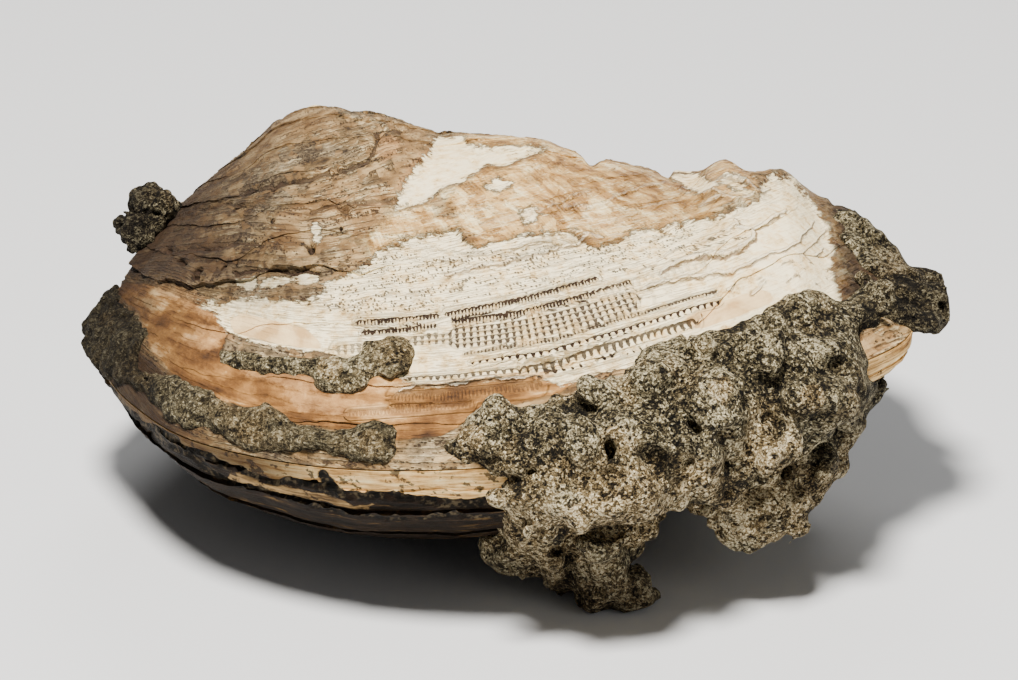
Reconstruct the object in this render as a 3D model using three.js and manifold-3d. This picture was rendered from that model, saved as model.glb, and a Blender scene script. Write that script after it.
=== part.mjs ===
// A fossil clam: two closed valves with their growth layers, lying on the lower one,
// and the crusts of sandy matrix that still hold on to them.
//
// Millimetres. X runs along the shell, from its front end to its back end, Y from its
// open margin to its hinge, and Z up from the surface that it rests on.

import * as THREE from 'three';
import { mergeVertices } from 'three/addons/utils/BufferGeometryUtils.js';
import Module from 'manifold-3d';

const wasm = await Module();
wasm.setup();

// Driving dimensions. The roll lifts the back end, and the hinge turn sets the hinge line
// a little askew to X, both in radians. The beaks lie where the growth spirals end.
const clearance = 0.3;
const marginHeight = 33.1;
const roll = 0.09;
const hingeTurn = 0.08;
const beak = new THREE.Vector2(-38, 61);
const umboSwing = 112;

// The open margin seen from above, from the front end along the open side to the back
// end, and back along the hinge side.
const margin = [
  [-69, 6], [-66.5, -6], [-61, -20], [-50, -36], [-30, -49], [-8, -54],
  [13, -52.5], [33, -44], [49, -31], [61, -14], [65, 7], [61, 26],
  [46, 38], [24, 46], [0, 51], [-26, 53], [-46, 45], [-62, 28],
];
const rollAxis = new THREE.Vector3(0, 1, 0);
const marginPoints = margin.map(([x, y]) => new THREE.Vector3(x, y, 0));
const marginCurve = new THREE.CatmullRomCurve3(marginPoints, true, 'catmullrom', 0.5);
const stationCount = margin.length;

// The crest is worn unevenly: how far it stands over or under the swept form, along X.
const crestWear = [
  [-75, 0], [-54, -0.6], [-47, -1.2], [-41, -0.2], [-35, 1.1], [-29, 0], [-22, -1.6],
  [-13, -4], [-3, -3.2], [5, -2.2], [10, -2.2], [13, -5], [17, -4], [23.5, -4.6],
  [29, 0], [34, 2.8], [40, 2.2], [46, 3.4], [52, 2.8], [60, 2], [75, 0],
];
const crest = { x: -18, height: 27.5, frontReach: 56, backReach: 80, least: 3 };
const wearStart = 0.5;
const wearFull = 0.85;

// Growth stops, from the margin to the beak. Each is a list of [station, swing in
// degrees, height of the step in millimetres]; the shell steps up where the swing passes it.
const upperStops = [
  [[0, 2.6, 0.2], [4, 2.8, 0.5], [8, 2.6, 0.3], [13, 2.6, 0.2]],
  [[0, 5.4, 0.3], [4.7, 5.2, 0.5], [7.5, 6.3, 0.6], [10, 5.6, 0.2], [13, 5.4, 0.2]],
  [[0, 9, 0.5], [3, 9.2, 0.7], [5, 9.6, 0.4], [7, 9.8, 0.4], [9, 8.6, 0.4], [13, 9, 0.3]],
  [[0, 11.5, 1.6], [2, 12.2, 2.2], [3.4, 13.5, 2.4], [4.3, 13.6, 1.6], [5.2, 15.6, 0.7],
    [6.5, 14.6, 0.5], [8.5, 12.8, 0.6], [10, 12, 0.5], [13, 11.5, 0.6]],
  [[0, 15.4, 1.0], [3.2, 15.9, 1.2], [4.4, 17.2, 0.5], [6, 18.3, 0.4], [9, 16.4, 0.5],
    [13, 15.5, 0.4]],
  [[0, 19.5, 0.9], [3.5, 20.3, 0.9], [5, 20.6, 1.2], [6.2, 21.6, 0.8], [9, 20.4, 0.7],
    [13, 19.5, 0.6]],
  [[0, 24.5, 0.8], [4.6, 25, 0.7], [5.5, 28.6, 1.2], [7, 27.2, 0.5], [9, 25, 0.7],
    [13, 24.5, 0.6]],
  [[0, 30, 0.9], [4.6, 31, 0.7], [5.8, 32.6, 1.0], [8, 32, 0.6], [13, 30, 0.6]],
  [[0, 37, 0.8], [6, 38, 0.7], [13, 37, 0.6]],
  [[0, 45, 0.8], [6, 46, 0.7], [13, 45, 0.6]],
  [[0, 56, 0.7], [6, 57, 0.6], [13, 56, 0.5]],
  [[0, 70, 0.5], [6, 71, 0.5], [13, 70, 0.4]],
];
const lowerStops = [
  [[0, 2.2, 0.5], [4, 2.0, 0.6], [9, 2.2, 0.4], [13, 2.2, 0.3]],
  [[0, 5.6, 0.7], [4, 4.6, 0.8], [9, 5.2, 0.5], [13, 5.4, 0.4]],
  [[0, 10.5, 0.6], [4, 9.6, 0.5], [9, 10, 0.5], [13, 10.5, 0.4]],
  [[0, 18, 0.6], [5, 17, 0.5], [13, 18, 0.5]],
  [[0, 29, 0.3], [5, 29, 0.3], [13, 29, 0.3]],
  [[0, 42, 0.5], [5, 44, 0.4], [13, 42, 0.4]],
  [[0, 62, 0.5], [5, 64, 0.4], [13, 62, 0.4]],
];
// A step fades over this many degrees. The jag moves a ledge to and fro, in degrees, and
// the gape keeps the shell clear of the margin plane, in millimetres for each degree.
const stepFade = 9;
const ledgeJag = 0.35;
const gape = 0.02;
// Columns crowd towards the open side of a valve, by this share of a turn.
const columnCrowd = 0.045;
const crowdTurn = 0.28;

const upperValve = { side: 1, decay: 1.62, power: 1.16, stops: upperStops, columns: 35 };
const lowerValve = { side: -1, decay: 1.46, power: 1.38, stops: lowerStops, columns: 28 };

// The matrix is listed as it is seen from in front of the open margin: across and up from
// the middle of the object, and radius. Each lump sits on the shell behind it.
const viewTilt = THREE.MathUtils.degToRad(24);
const viewDistance = 900;
const viewTarget = new THREE.Vector3(0, 0, marginHeight - 6.6);

// A crust is a sheet that wraps the margin. Its place across is a swing in degrees, below
// zero on the lower valve and above zero on the upper one. Each entry of an edge or of the
// thickness is [station, value]; a window is a bare spot at [station, swing, half width].
const massCrust = {
  from: 4.55,
  to: 12.1,
  low: [[4.5, -0.4], [4.9, -0.8], [5.25, -4], [5.4, -13], [5.7, -18], [6.3, -16],
    [7, -13], [7.7, -22], [8.4, -26], [9.2, -20], [9.8, -10], [10.6, -7], [11.5, -5],
    [12.2, -3]],
  high: [[4.5, 1.2], [5.0, 2.3], [5.3, 3.3], [5.6, 3.6], [6, 4.8], [6.5, 5.2], [7, 5.6],
    [8, 5.5], [8.6, 5.1], [8.9, 3.4], [9.5, 3], [10, 3.8], [10.9, 3.8], [11.5, 4.4], [12.2, 3]],
  thickness: [[4.5, 2.4], [5, 3.4], [5.4, 5], [6, 6.4], [7, 6.4], [7.8, 7.6], [8.4, 7],
    [8.9, 4.6], [9.4, 5.4], [9.9, 4.6], [10.3, 2.4], [11, 1.7], [12.2, 1.5]],
  window: [9.0, -1.6, 2.4],
  columns: 22,
  rows: 8,
  lumpSize: 7,
  lumpiness: 0.4,
};
const seamCrust = {
  from: -0.6,
  to: 4.62,
  low: [[-0.6, 1.4], [0, 1.2], [0.6, 0.4], [1.6, 0.6], [2.6, 0.6], [3.6, 0.2], [4.6, 0.2]],
  high: [[-0.6, 6.4], [0, 8.6], [0.6, 7.6], [1.2, 5.2], [2, 4.1], [3.4, 3.6], [4.3, 3.6],
    [4.6, 3]],
  thickness: [[-0.6, 2.4], [0, 3.8], [0.6, 3.4], [1.2, 2.7], [3, 2.8], [4.3, 3.2], [4.6, 2.4]],
  columns: 22,
  rows: 4,
  lumpSize: 4,
  lumpiness: 0.25,
};
const patchCrust = {
  from: 3.02,
  to: 4.95,
  low: [[3, 6.6], [3.4, 5.8], [4.0, 5.4], [4.2, 4.3], [4.5, 4.9], [4.7, 5.8], [4.95, 6.4]],
  high: [[3, 7.6], [3.4, 7.4], [4.0, 6.6], [4.4, 6.8], [4.55, 8.6], [4.8, 8.8], [4.95, 7.6]],
  thickness: [[3, 2.6], [4.0, 2.7], [4.3, 3.2], [4.7, 3.3], [4.95, 2.6]],
  columns: 14,
  rows: 4,
  lumpSize: 3,
  lumpiness: 0.12,
};
// A sheet reaches this far under the shell's surface, and its edges dip under it. Across
// the margin its normals turn from one valve to the other within a few degrees.
const sheetRoot = 2.5;
const edgeDip = 0.9;
const marginRound = 2;
const cutterGrowth = clearance + 0.05;

// Lumps of the mass seen from in front: across, up and radius.
const massLumps = [
  [8.2, -14.6, 5.2], [17, -14, 6.4], [17.4, -23, 7.4], [27.4, -18, 6.6],
  [27, -7, 6], [37, -13, 7], [37.6, -1.6, 5.8], [47, -5.6, 6.6], [47.8, 3, 5],
  [34.8, -21.6, 6], [41, -22.6, 7], [46.6, -17, 6.4],
  [52.2, -10.4, 5.4], [2.8, -28.4, 6.4], [8.4, -32.6, 6.2],
  [14.4, -30, 6.4], [14.4, -36, 5.2], [19.4, -38.6, 2.8], [59.8, 9.2, 4.2],
  [64, 11.4, 4.6], [66.4, 8, 4], [60.4, 15.6, 3.2],
];
// Lumps under the back end, where the shell lay in the sand: x, y, z and radius.
const footLumps = [
  [50, -8, 25, 9], [43, 2, 18, 9.5], [33, 7, 11.5, 9], [23, 12, 6, 8.5], [21, 24, 5, 7.5],
];
// Lumps of the knob on the front slope of the upper valve: x, y, z and radius.
const knobLumps = [
  [-58.6, 27, 40.4, 4], [-60, 24.6, 43.8, 3.8], [-62, 21.6, 40.6, 3.8],
];
const lumpJag = 0.26;
const lumpStandoff = 0.1;

const materials = {
  chalk: new THREE.MeshStandardMaterial({ color: 0xe4d8c4, roughness: 0.72, metalness: 0 }),
  ochre: new THREE.MeshStandardMaterial({ color: 0x8a6a48, roughness: 0.6, metalness: 0 }),
  matrix: new THREE.MeshStandardMaterial({ color: 0x736b5c, roughness: 0.95, metalness: 0 }),
};

// Even random numbers on the whole-number lattice, and their smooth interpolation.
function hash(i, j, k) {
  let h = Math.imul(i, 374761393) + Math.imul(j, 668265263) + Math.imul(k, 1274126177);
  h = Math.imul(h ^ (h >>> 13), 1103515245);
  return ((h ^ (h >>> 16)) >>> 0) / 4294967295;
}

function noise(x, y, z) {
  const cell = [x, y, z].map(Math.floor);
  const [u, v, w] = [x, y, z].map((value, axis) => {
    const t = value - cell[axis];
    return t * t * (3 - 2 * t);
  });
  const at = (a, b, c) => hash(cell[0] + a, cell[1] + b, cell[2] + c);
  const mix = THREE.MathUtils.lerp;
  const floor = mix(mix(at(0, 0, 0), at(1, 0, 0), u), mix(at(0, 1, 0), at(1, 1, 0), u), v);
  const roof = mix(mix(at(0, 0, 1), at(1, 0, 1), u), mix(at(0, 1, 1), at(1, 1, 1), u), v);
  return 2 * mix(floor, roof, w) - 1;
}

// A value read along a list of [place, ...values], which closes on itself after a period.
function readList(list, place, column, period) {
  const last = list.length - 1;
  let before = list[last];
  let start = before[0] - period;
  for (const entry of [...list, [list[0][0] + period, ...list[0].slice(1)]]) {
    if (place <= entry[0]) {
      const t = (place - start) / (entry[0] - start || 1);
      return THREE.MathUtils.lerp(before[column], entry[column], t * t * (3 - 2 * t));
    }
    before = entry;
    start = entry[0];
  }
  return before[column];
}

// The swept form of a valve. Growth goes backwards from the margin: the swing turns the
// margin about the hinge line while it shrinks towards the beak, as a logarithmic spiral.
function sweptPoint(valve, station, swing) {
  const rim = marginCurve.getPoint((station / stationCount + 1) % 1);
  const along = new THREE.Vector2(Math.cos(hingeTurn), Math.sin(hingeTurn));
  const away = new THREE.Vector2(-along.y, along.x);
  const reach = new THREE.Vector2(rim.x, rim.y).sub(beak);
  const angle = THREE.MathUtils.degToRad(swing);
  const shrink = Math.exp(-valve.decay * angle ** valve.power);
  const hinge = shrink * reach.dot(along);
  const open = shrink * reach.dot(away);
  const x = beak.x + hinge * along.x + open * Math.cos(angle) * away.x;
  const y = beak.y + hinge * along.y + open * Math.cos(angle) * away.y;
  return new THREE.Vector3(x, y, -valve.side * open * Math.sin(angle));
}

function sweptNormal(valve, station, swing) {
  const stepAlong = 0.02;
  const stepSwing = 0.2;
  const inner = Math.max(swing, stepSwing);
  const along = sweptPoint(valve, station + stepAlong, inner)
    .sub(sweptPoint(valve, station - stepAlong, inner));
  const across = sweptPoint(valve, station, inner + stepSwing)
    .sub(sweptPoint(valve, station, inner - stepSwing));
  return along.cross(across).multiplyScalar(valve.side).normalize();
}

// Height of the growth layers over the swept form. A stop that the swing has passed adds
// its step, and the step fades towards the next ones. The count says which steps are passed.
function layerHeight(valve, station, swing, passed) {
  let height = 0;
  for (let index = 0; index < passed; index += 1) {
    const stop = valve.stops[index];
    const gone = (swing - readList(stop, station, 1, stationCount)) / stepFade;
    height += readList(stop, station, 2, stationCount) * Math.max(0, 1 - Math.max(gone, 0));
  }
  return height;
}

// Height of the crest over the margin plane: a parabola with a shorter front slope.
function crestHeight(x) {
  const reach = x < crest.x ? crest.frontReach : crest.backReach;
  return Math.max(crest.height * (1 - ((x - crest.x) / reach) ** 2), crest.least);
}

// From the valve's own frame to the resting object: worn crest, roll, height, flat belly.
function place(point) {
  const worn = point.clone();
  const share = THREE.MathUtils.smoothstep(worn.z / crestHeight(worn.x), wearStart, wearFull);
  worn.z += share * readList(crestWear, worn.x, 1, 1000);
  worn.applyAxisAngle(rollAxis, -roll);
  worn.z = Math.max(worn.z + marginHeight, 0);
  return worn;
}

// Rows of a valve from margin to beak: a foot and a lip at every growth stop, with plain
// rows between, so that each ledge is sharp. Each row is [stop, part of the way, passed].
function valveRows(valve) {
  const rows = [[-1, 0, 0]];
  valve.stops.forEach((stop, index) => {
    rows.push([index - 1, 0.5, index], [index, -0.04, index], [index, 0, index + 1]);
  });
  const last = valve.stops.length;
  rows.push([last - 1, 0.35, last], [last - 1, 0.7, last], [last, 0, last]);
  return rows;
}

function stopSwing(valve, index, station) {
  if (index < 0) return 0;
  if (index >= valve.stops.length) return umboSwing;
  const jag = ledgeJag * noise(station * 3.1, index * 7.7, valve.side);
  return readList(valve.stops[index], station, 1, stationCount) + jag;
}

function rowSwing(valve, [index, part], station) {
  const here = stopSwing(valve, index, station);
  const next = stopSwing(valve, index + 1, station);
  const previous = stopSwing(valve, index - 1, station);
  return part < 0 ? here + part * (here - previous) : here + part * (next - here);
}

// Stations of the columns: closer together on the open side than along the hinge.
function columnStation(index, count) {
  const turn = index / count;
  return stationCount * (turn - columnCrowd * Math.sin(2 * Math.PI * (turn - crowdTurn)));
}

// A closed valve with its flat face on the margin plane. Growth grows it outwards all over,
// and adds a skirt that crosses the margin plane.
function valveGeometry(valve, growth = 0) {
  const rows = valveRows(valve);
  if (growth > 0) rows.unshift([-1, 0, 0]);
  const face = clearance / 2 - 2 * growth;
  const ringSum = new THREE.Vector3();
  const positions = [];
  const indices = [];
  for (const row of rows) {
    for (let column = 0; column < valve.columns; column += 1) {
      const station = columnStation(column, valve.columns);
      const swing = rowSwing(valve, row, station);
      const normal = sweptNormal(valve, station, swing);
      const point = sweptPoint(valve, station, swing);
      point.addScaledVector(normal, layerHeight(valve, station, swing, row[2]));
      const least = clearance / 2 + gape * swing;
      point.z = valve.side * Math.max(valve.side * point.z, least);
      point.addScaledVector(normal, growth);
      if (row === rows[0]) point.z = valve.side * face;
      if (row === rows.at(-1)) ringSum.add(point);
      positions.push(...place(point));
    }
  }
  const centre = new THREE.Vector3(0, 0, valve.side * face);
  const tip = ringSum.divideScalar(valve.columns);
  positions.push(...place(centre), ...place(tip));
  const centreIndex = rows.length * valve.columns;
  const quad = (a, b, c, d) => indices.push(a, b, d, a, d, c);
  for (let column = 0; column < valve.columns; column += 1) {
    const next = (column + 1) % valve.columns;
    for (let row = 0; row + 1 < rows.length; row += 1) {
      const [low, high] = [row * valve.columns, (row + 1) * valve.columns];
      quad(low + column, low + next, high + column, high + next);
    }
    const end = (rows.length - 1) * valve.columns;
    indices.push(centreIndex, next, column, end + column, end + next, centreIndex + 1);
  }
  if (valve.side < 0) indices.reverse();
  const geometry = new THREE.BufferGeometry();
  geometry.setAttribute('position', new THREE.Float32BufferAttribute(positions, 3));
  geometry.setIndex(indices);
  return geometry;
}

function toSolid(geometry) {
  const bare = geometry.clone();
  bare.deleteAttribute('normal');
  bare.deleteAttribute('uv');
  const merged = mergeVertices(bare, 1e-4);
  return new wasm.Manifold(new wasm.Mesh({
    numProp: 3,
    vertProperties: new Float32Array(merged.attributes.position.array),
    triVerts: new Uint32Array(merged.index.array),
  }));
}

function fromSolid(solid) {
  const mesh = solid.getMesh();
  const geometry = new THREE.BufferGeometry();
  geometry.setAttribute('position', new THREE.BufferAttribute(mesh.vertProperties, 3));
  geometry.setIndex(new THREE.BufferAttribute(mesh.triVerts, 1));
  geometry.computeVertexNormals();
  return geometry;
}

// Seats: points all over both valves that face the front view, with their place in it.
const viewRight = new THREE.Vector3(1, 0, 0);
const viewUp = new THREE.Vector3(0, Math.sin(viewTilt), Math.cos(viewTilt));
const viewInto = new THREE.Vector3(0, Math.cos(viewTilt), -Math.sin(viewTilt));

function listSeats() {
  const seats = [];
  for (const valve of [upperValve, lowerValve]) {
    for (let station = 0; station < stationCount; station += 0.1) {
      for (let swing = 0.5; swing < 40; swing += 0.75) {
        const normal = sweptNormal(valve, station, swing);
        normal.applyAxisAngle(rollAxis, -roll);
        const point = place(sweptPoint(valve, station, swing));
        const from = point.clone().sub(viewTarget);
        const depth = from.dot(viewInto);
        const near = viewDistance / (viewDistance + depth);
        const seen = new THREE.Vector2(from.dot(viewRight), from.dot(viewUp));
        seen.multiplyScalar(near);
        if (normal.dot(viewInto) < 0) seats.push({ seen, depth, normal });
      }
    }
  }
  return seats;
}
const seats = listSeats();

// The lump's centre lies in the plane of the nearest seat, a little in front of it.
function seatLump([across, up, radius]) {
  const spot = new THREE.Vector2(across, up);
  let best = seats[0];
  for (const seat of seats) {
    if (seat.seen.distanceTo(spot) < best.seen.distanceTo(spot)) best = seat;
  }
  const depth = best.depth - lumpStandoff * radius;
  const spread = (viewDistance + depth) / viewDistance;
  const centre = viewTarget.clone()
    .addScaledVector(viewRight, across * spread)
    .addScaledVector(viewUp, up * spread)
    .addScaledVector(viewInto, depth);
  return { centre, radius };
}

// One lump: a ball roughened with noise.
function lumpSolid({ centre, radius }) {
  const geometry = new THREE.IcosahedronGeometry(radius, 1);
  const corners = geometry.attributes.position;
  const point = new THREE.Vector3();
  for (let index = 0; index < corners.count; index += 1) {
    point.fromBufferAttribute(corners, index);
    const world = point.clone().add(centre).divideScalar(0.9 * radius + 1.2);
    const fine = noise(2.3 * world.x, 2.3 * world.y, 2.3 * world.z);
    point.multiplyScalar(1 + lumpJag * (noise(world.x, world.y, world.z) + 0.5 * fine));
    corners.setXYZ(index, point.x + centre.x, point.y + centre.y, point.z + centre.z);
  }
  return toSolid(geometry);
}

// A place on the shell at a signed swing, with its normal turned smoothly over the margin.
function shellPlace(station, signedSwing) {
  const valve = signedSwing < 0 ? lowerValve : upperValve;
  const lean = THREE.MathUtils.clamp(signedSwing / marginRound, -1, 1);
  const upper = sweptNormal(upperValve, station, Math.max(signedSwing, 0));
  const lower = sweptNormal(lowerValve, station, Math.max(-signedSwing, 0));
  const normal = upper.multiplyScalar(1 + lean).addScaledVector(lower, 1 - lean).normalize();
  const point = place(sweptPoint(valve, station, Math.abs(signedSwing)));
  return { point, normal: normal.applyAxisAngle(rollAxis, -roll) };
}

// The crust's outer height over the shell: full in the middle, under the surface at the
// edges, lumpy all over, and dipped at its window.
function crustHeight(crust, station, share, swing, point) {
  const body = readList(crust.thickness, station, 1, 1000) * (1 - Math.abs(2 * share - 1) ** 3);
  const ends = Math.min(station - crust.from, crust.to - station) / 0.3;
  const [x, y, z] = point.toArray().map((value) => value / crust.lumpSize);
  const lumps = noise(x, y, z) + 0.5 * noise(2.2 * x, 2.2 * y, 2.2 * z);
  let height = body * (1 + crust.lumpiness * lumps) * Math.min(ends, 1) - edgeDip;
  if (crust.window) {
    const [atStation, atSwing, width] = crust.window;
    const away = Math.hypot(9 * (station - atStation), swing - atSwing) / width;
    height = Math.min(height, 8 * (away - 1));
  }
  return share > 0 && share < 1 ? Math.max(height, 0.2 - sheetRoot) : 0.2 - sheetRoot;
}

// A closed sheet: an outer grid over the shell, an inner grid under its surface, and the
// strips that close its four sides.
function crustSheet(crust) {
  const outer = [];
  const inner = [];
  for (let row = 0; row <= crust.rows; row += 1) {
    for (let column = 0; column <= crust.columns; column += 1) {
      const along = column / crust.columns;
      const station = THREE.MathUtils.lerp(crust.from, crust.to, along);
      const share = row / crust.rows;
      const low = readList(crust.low, station, 1, 1000);
      const high = readList(crust.high, station, 1, 1000);
      const swing = THREE.MathUtils.lerp(low, high, share);
      const { point, normal } = shellPlace(station, swing);
      const height = crustHeight(crust, station, share, swing, point);
      outer.push(...point.clone().addScaledVector(normal, height));
      inner.push(...point.clone().addScaledVector(normal, -sheetRoot));
    }
  }
  const wide = crust.columns + 1;
  const below = outer.length / 3;
  const indices = [];
  for (let row = 0; row < crust.rows; row += 1) {
    for (let column = 0; column < crust.columns; column += 1) {
      const a = row * wide + column;
      const [b, c, d] = [a + 1, a + wide, a + wide + 1];
      indices.push(a, b, d, a, d, c);
      indices.push(below + a, below + d, below + b, below + a, below + c, below + d);
    }
  }
  const rim = [];
  for (let column = 0; column < crust.columns; column += 1) rim.push(column);
  for (let row = 0; row < crust.rows; row += 1) rim.push(row * wide + crust.columns);
  for (let column = crust.columns; column > 0; column -= 1) rim.push(crust.rows * wide + column);
  for (let row = crust.rows; row > 0; row -= 1) rim.push(row * wide);
  rim.forEach((here, index) => {
    const next = rim[(index + 1) % rim.length];
    indices.push(here, below + next, next, here, below + here, below + next);
  });
  const geometry = new THREE.BufferGeometry();
  geometry.setAttribute('position', new THREE.Float32BufferAttribute([...outer, ...inner], 3));
  geometry.setIndex(indices);
  return toSolid(geometry);
}

const cutters = [upperValve, lowerValve]
  .map((valve) => toSolid(valveGeometry(valve, cutterGrowth)));
const groundBox = new THREE.BoxGeometry(400, 400, 50).translate(0, 0, -25);
const ground = toSolid(groundBox);

// A piece of matrix is its parts joined, less the grown valves and what would lie under the
// ground. What the cut leaves loose is dropped.
function crustGeometry(parts) {
  const joined = parts.reduce((a, b) => a.add(b));
  const cut = cutters.reduce((solid, cutter) => solid.subtract(cutter), joined).subtract(ground);
  const bodies = cut.decompose().sort((a, b) => b.volume() - a.volume());
  return fromSolid(bodies[0]);
}

const directLump = ([x, y, z, radius]) => ({ centre: new THREE.Vector3(x, y, z), radius });

function addPiece(name, geometry, material) {
  const mesh = new THREE.Mesh(geometry, material);
  mesh.name = name;
  clam.add(mesh);
}

const clam = new THREE.Group();
addPiece('upper_valve', valveGeometry(upperValve, 0), materials.chalk);
addPiece('lower_valve', valveGeometry(lowerValve, 0), materials.ochre);
const mass = [...massLumps.map(seatLump), ...footLumps.map(directLump)].map(lumpSolid);
addPiece('matrix_mass', crustGeometry([crustSheet(massCrust), ...mass]), materials.matrix);
addPiece('matrix_seam', crustGeometry([crustSheet(seamCrust)]), materials.matrix);
addPiece('matrix_patch', crustGeometry([crustSheet(patchCrust)]), materials.matrix);
const knob = knobLumps.map(directLump).map(lumpSolid);
addPiece('matrix_knob', crustGeometry(knob), materials.matrix);

// The origin lies under the middle of the whole object.
const box = new THREE.Box3().setFromObject(clam);
const middle = box.getCenter(new THREE.Vector3());
clam.position.set(-middle.x, -middle.y, -box.min.z);

export default clam;
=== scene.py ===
import math

import bpy
import numpy as np
from mathutils import Matrix, Vector


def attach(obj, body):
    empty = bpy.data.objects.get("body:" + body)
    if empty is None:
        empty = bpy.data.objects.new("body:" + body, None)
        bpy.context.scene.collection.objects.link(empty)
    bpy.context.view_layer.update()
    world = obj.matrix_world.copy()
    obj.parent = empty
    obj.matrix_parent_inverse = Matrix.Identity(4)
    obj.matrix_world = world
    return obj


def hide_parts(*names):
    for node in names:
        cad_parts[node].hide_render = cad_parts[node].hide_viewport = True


# A fossil clam: two closed valves with torn growth layers, and crusts of sandy matrix.
# Lengths are millimetres until a mesh is made, X along the shell, Y from its open margin
# to its hinge, Z up from the surface that it rests on.
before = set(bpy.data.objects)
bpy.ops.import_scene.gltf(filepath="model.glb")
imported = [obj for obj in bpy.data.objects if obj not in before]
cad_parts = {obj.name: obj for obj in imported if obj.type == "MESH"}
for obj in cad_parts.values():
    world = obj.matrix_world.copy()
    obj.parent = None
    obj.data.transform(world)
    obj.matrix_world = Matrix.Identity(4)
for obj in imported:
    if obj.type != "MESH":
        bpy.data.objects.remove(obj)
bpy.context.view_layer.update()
print("frame loaded")

millimetre = 0.001
form = {
    "clearance": 0.3,  # between the valves at the margin
    "marginHeight": 33.1,
    "roll": 0.09,  # lifts the back end, radians
    "hingeTurn": 0.08,  # the hinge line against X, radians
    "beak": (-38.0, 61.0),
    "umboSwing": 128.0,  # degrees from the open margin to the beak
    "originShift": (0.085, -1.798),
    "crest": {"x": -18, "height": 27.5, "frontReach": 56, "backReach": 80, "least": 3},
    "wearStart": 0.2,  # shares of the crest's height
    "wearFull": 0.75,
    "bulge": {"middle": (57.0, -18.0, 32.0), "size": 10.5, "shift": (5.2, 0, 0)},
    "gape": 0.02,  # how far each valve clears the margin plane, for each degree of swing
    "stepFade": 9.0,  # degrees of swing over which a growth step fades
    "undercut": (0.14, 0.3),  # a share of a step's height, and its greatest, in degrees
    # The open margin from above, one point for each station.
    "margin": [
        (-69, 6), (-66.5, -6), (-61, -20), (-50, -36), (-30, -49), (-8, -54), (13, -52.5),
        (33, -44), (49, -31), (61, -14), (65, 7), (61, 26), (46, 38), (24, 46), (0, 51), (-26, 53),
        (-46, 45), (-62, 28),
    ],
    # How much the worn crest is raised or lowered along the shell.
    "crestWear": [
        (-75, 0), (-60, -0.5), (-52, -1.1), (-44, -1.7), (-36, 1.1), (-29, 0.9), (-21, -1.3),
        (-12, -3.2), (-4, -2.3), (5, -0.6), (12.5, -1.7), (21, -1.6), (29, -1), (37, 4.2),
        (45, 5.2), (52, 1.8), (60, 0.6), (75, 0),
    ],
    "skylineRagged": (1.6, 1.3),  # height in picture elements and size in mm of its notches
    "skylineSoft": 3,  # how far below it the shell is rounded off, in picture elements
    # The broken crest as the main view shows it, in picture elements: nothing stands above it.
    "skyline": [
        (190, 187), (205, 182), (220, 166), (250, 142), (280, 120), (300, 107), (312, 105),
        (340, 108), (352, 113), (370, 111), (400, 118), (430, 128), (437, 135), (447, 131),
        (475, 134), (490, 133), (505, 136), (520, 138), (535, 139), (550, 141), (560, 146),
        (568, 147), (575, 151), (583, 158), (586, 166), (595, 169), (600, 163), (607, 160),
        (615, 160), (625, 162), (632, 166), (645, 168), (655, 172), (664, 178), (670, 181),
        (674, 172), (682, 169), (690, 171), (700, 172), (706, 168), (712, 162), (722, 158),
        (735, 164), (742, 170), (750, 173), (765, 172), (772, 169), (780, 169), (790, 172),
        (795, 176), (805, 184), (812, 192), (820, 196), (828, 196), (832, 206), (850, 208),
        (865, 219), (880, 232), (895, 247), (910, 268), (940, 270), (947, 285), (952, 330),
        (1018, 420),
    ],
}
margin = np.array(form["margin"], float)
mainView = {
    "tilt": math.radians(24),
    "distance": 900.0,
    "target": (0.0, 0.0, 26.5),
    "pictureScale": 0.1625,  # mm for each picture element at the target
    "picture": (1018, 680),
    "targetAt": (514.5, 360.0),
}


latticeSide = 64
lattice = np.random.default_rng(11).uniform(-1, 1, (latticeSide,) * 3).astype(np.float32)


def noise(x, y, z=0.0):
    # Smooth noise from -1 to 1: eight random corner values, blended by 3t2 - 2t3 on each axis.
    x, y, z = np.broadcast_arrays(x, y, z)
    cell = [np.floor(c).astype(np.int32) for c in (x, y, z)]
    u, v, w = (c - i for c, i in zip((x, y, z), cell))
    u, v, w = (t * t * (3 - 2 * t) for t in (u, v, w))
    i, j, k = (c % latticeSide for c in cell)
    i1, j1, k1 = ((c + 1) % latticeSide for c in (i, j, k))
    near = blend(blend(lattice[i, j, k], lattice[i1, j, k], u),
                 blend(lattice[i, j1, k], lattice[i1, j1, k], u), v)
    far = blend(blend(lattice[i, j, k1], lattice[i1, j, k1], u),
                blend(lattice[i, j1, k1], lattice[i1, j1, k1], u), v)
    return blend(near, far, w)


def blend(a, b, t):
    return a + (b - a) * t


def layeredNoise(x, y, z=0.0, octaves=3, gain=0.5):
    # Octaves of noise, each twice as fine and gain times as strong as the last.
    total, strength = 0.0, 1.0
    for octave in range(octaves):
        scale = 2.03 ** octave
        total = total + strength * noise(x * scale, y * scale, z * scale + 17.3 * octave)
        strength *= gain
    return total


def ease(low, high, value):
    # 0 below low, 1 above high, and 3t2 - 2t3 between.
    t = np.clip((value - low) / (high - low), 0, 1)
    return t * t * (3 - 2 * t)


def readList(rows, place, column=1, period=None):
    # A value read along rows of (place, values...), eased from row to row.
    table = np.array(rows, float)
    if period:
        table = np.vstack([table, table[:1]])
        table[-1, 0] += period
        place = table[0, 0] + np.mod(place - table[0, 0], period)
    index = np.clip(np.searchsorted(table[:, 0], place, side="right") - 1, 0, len(table) - 2)
    start, end = table[index], table[index + 1]
    share = ease(0, 1, (place - start[..., 0]) / (end[..., 0] - start[..., 0]))
    return blend(start[..., column], end[..., column], share)


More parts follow.
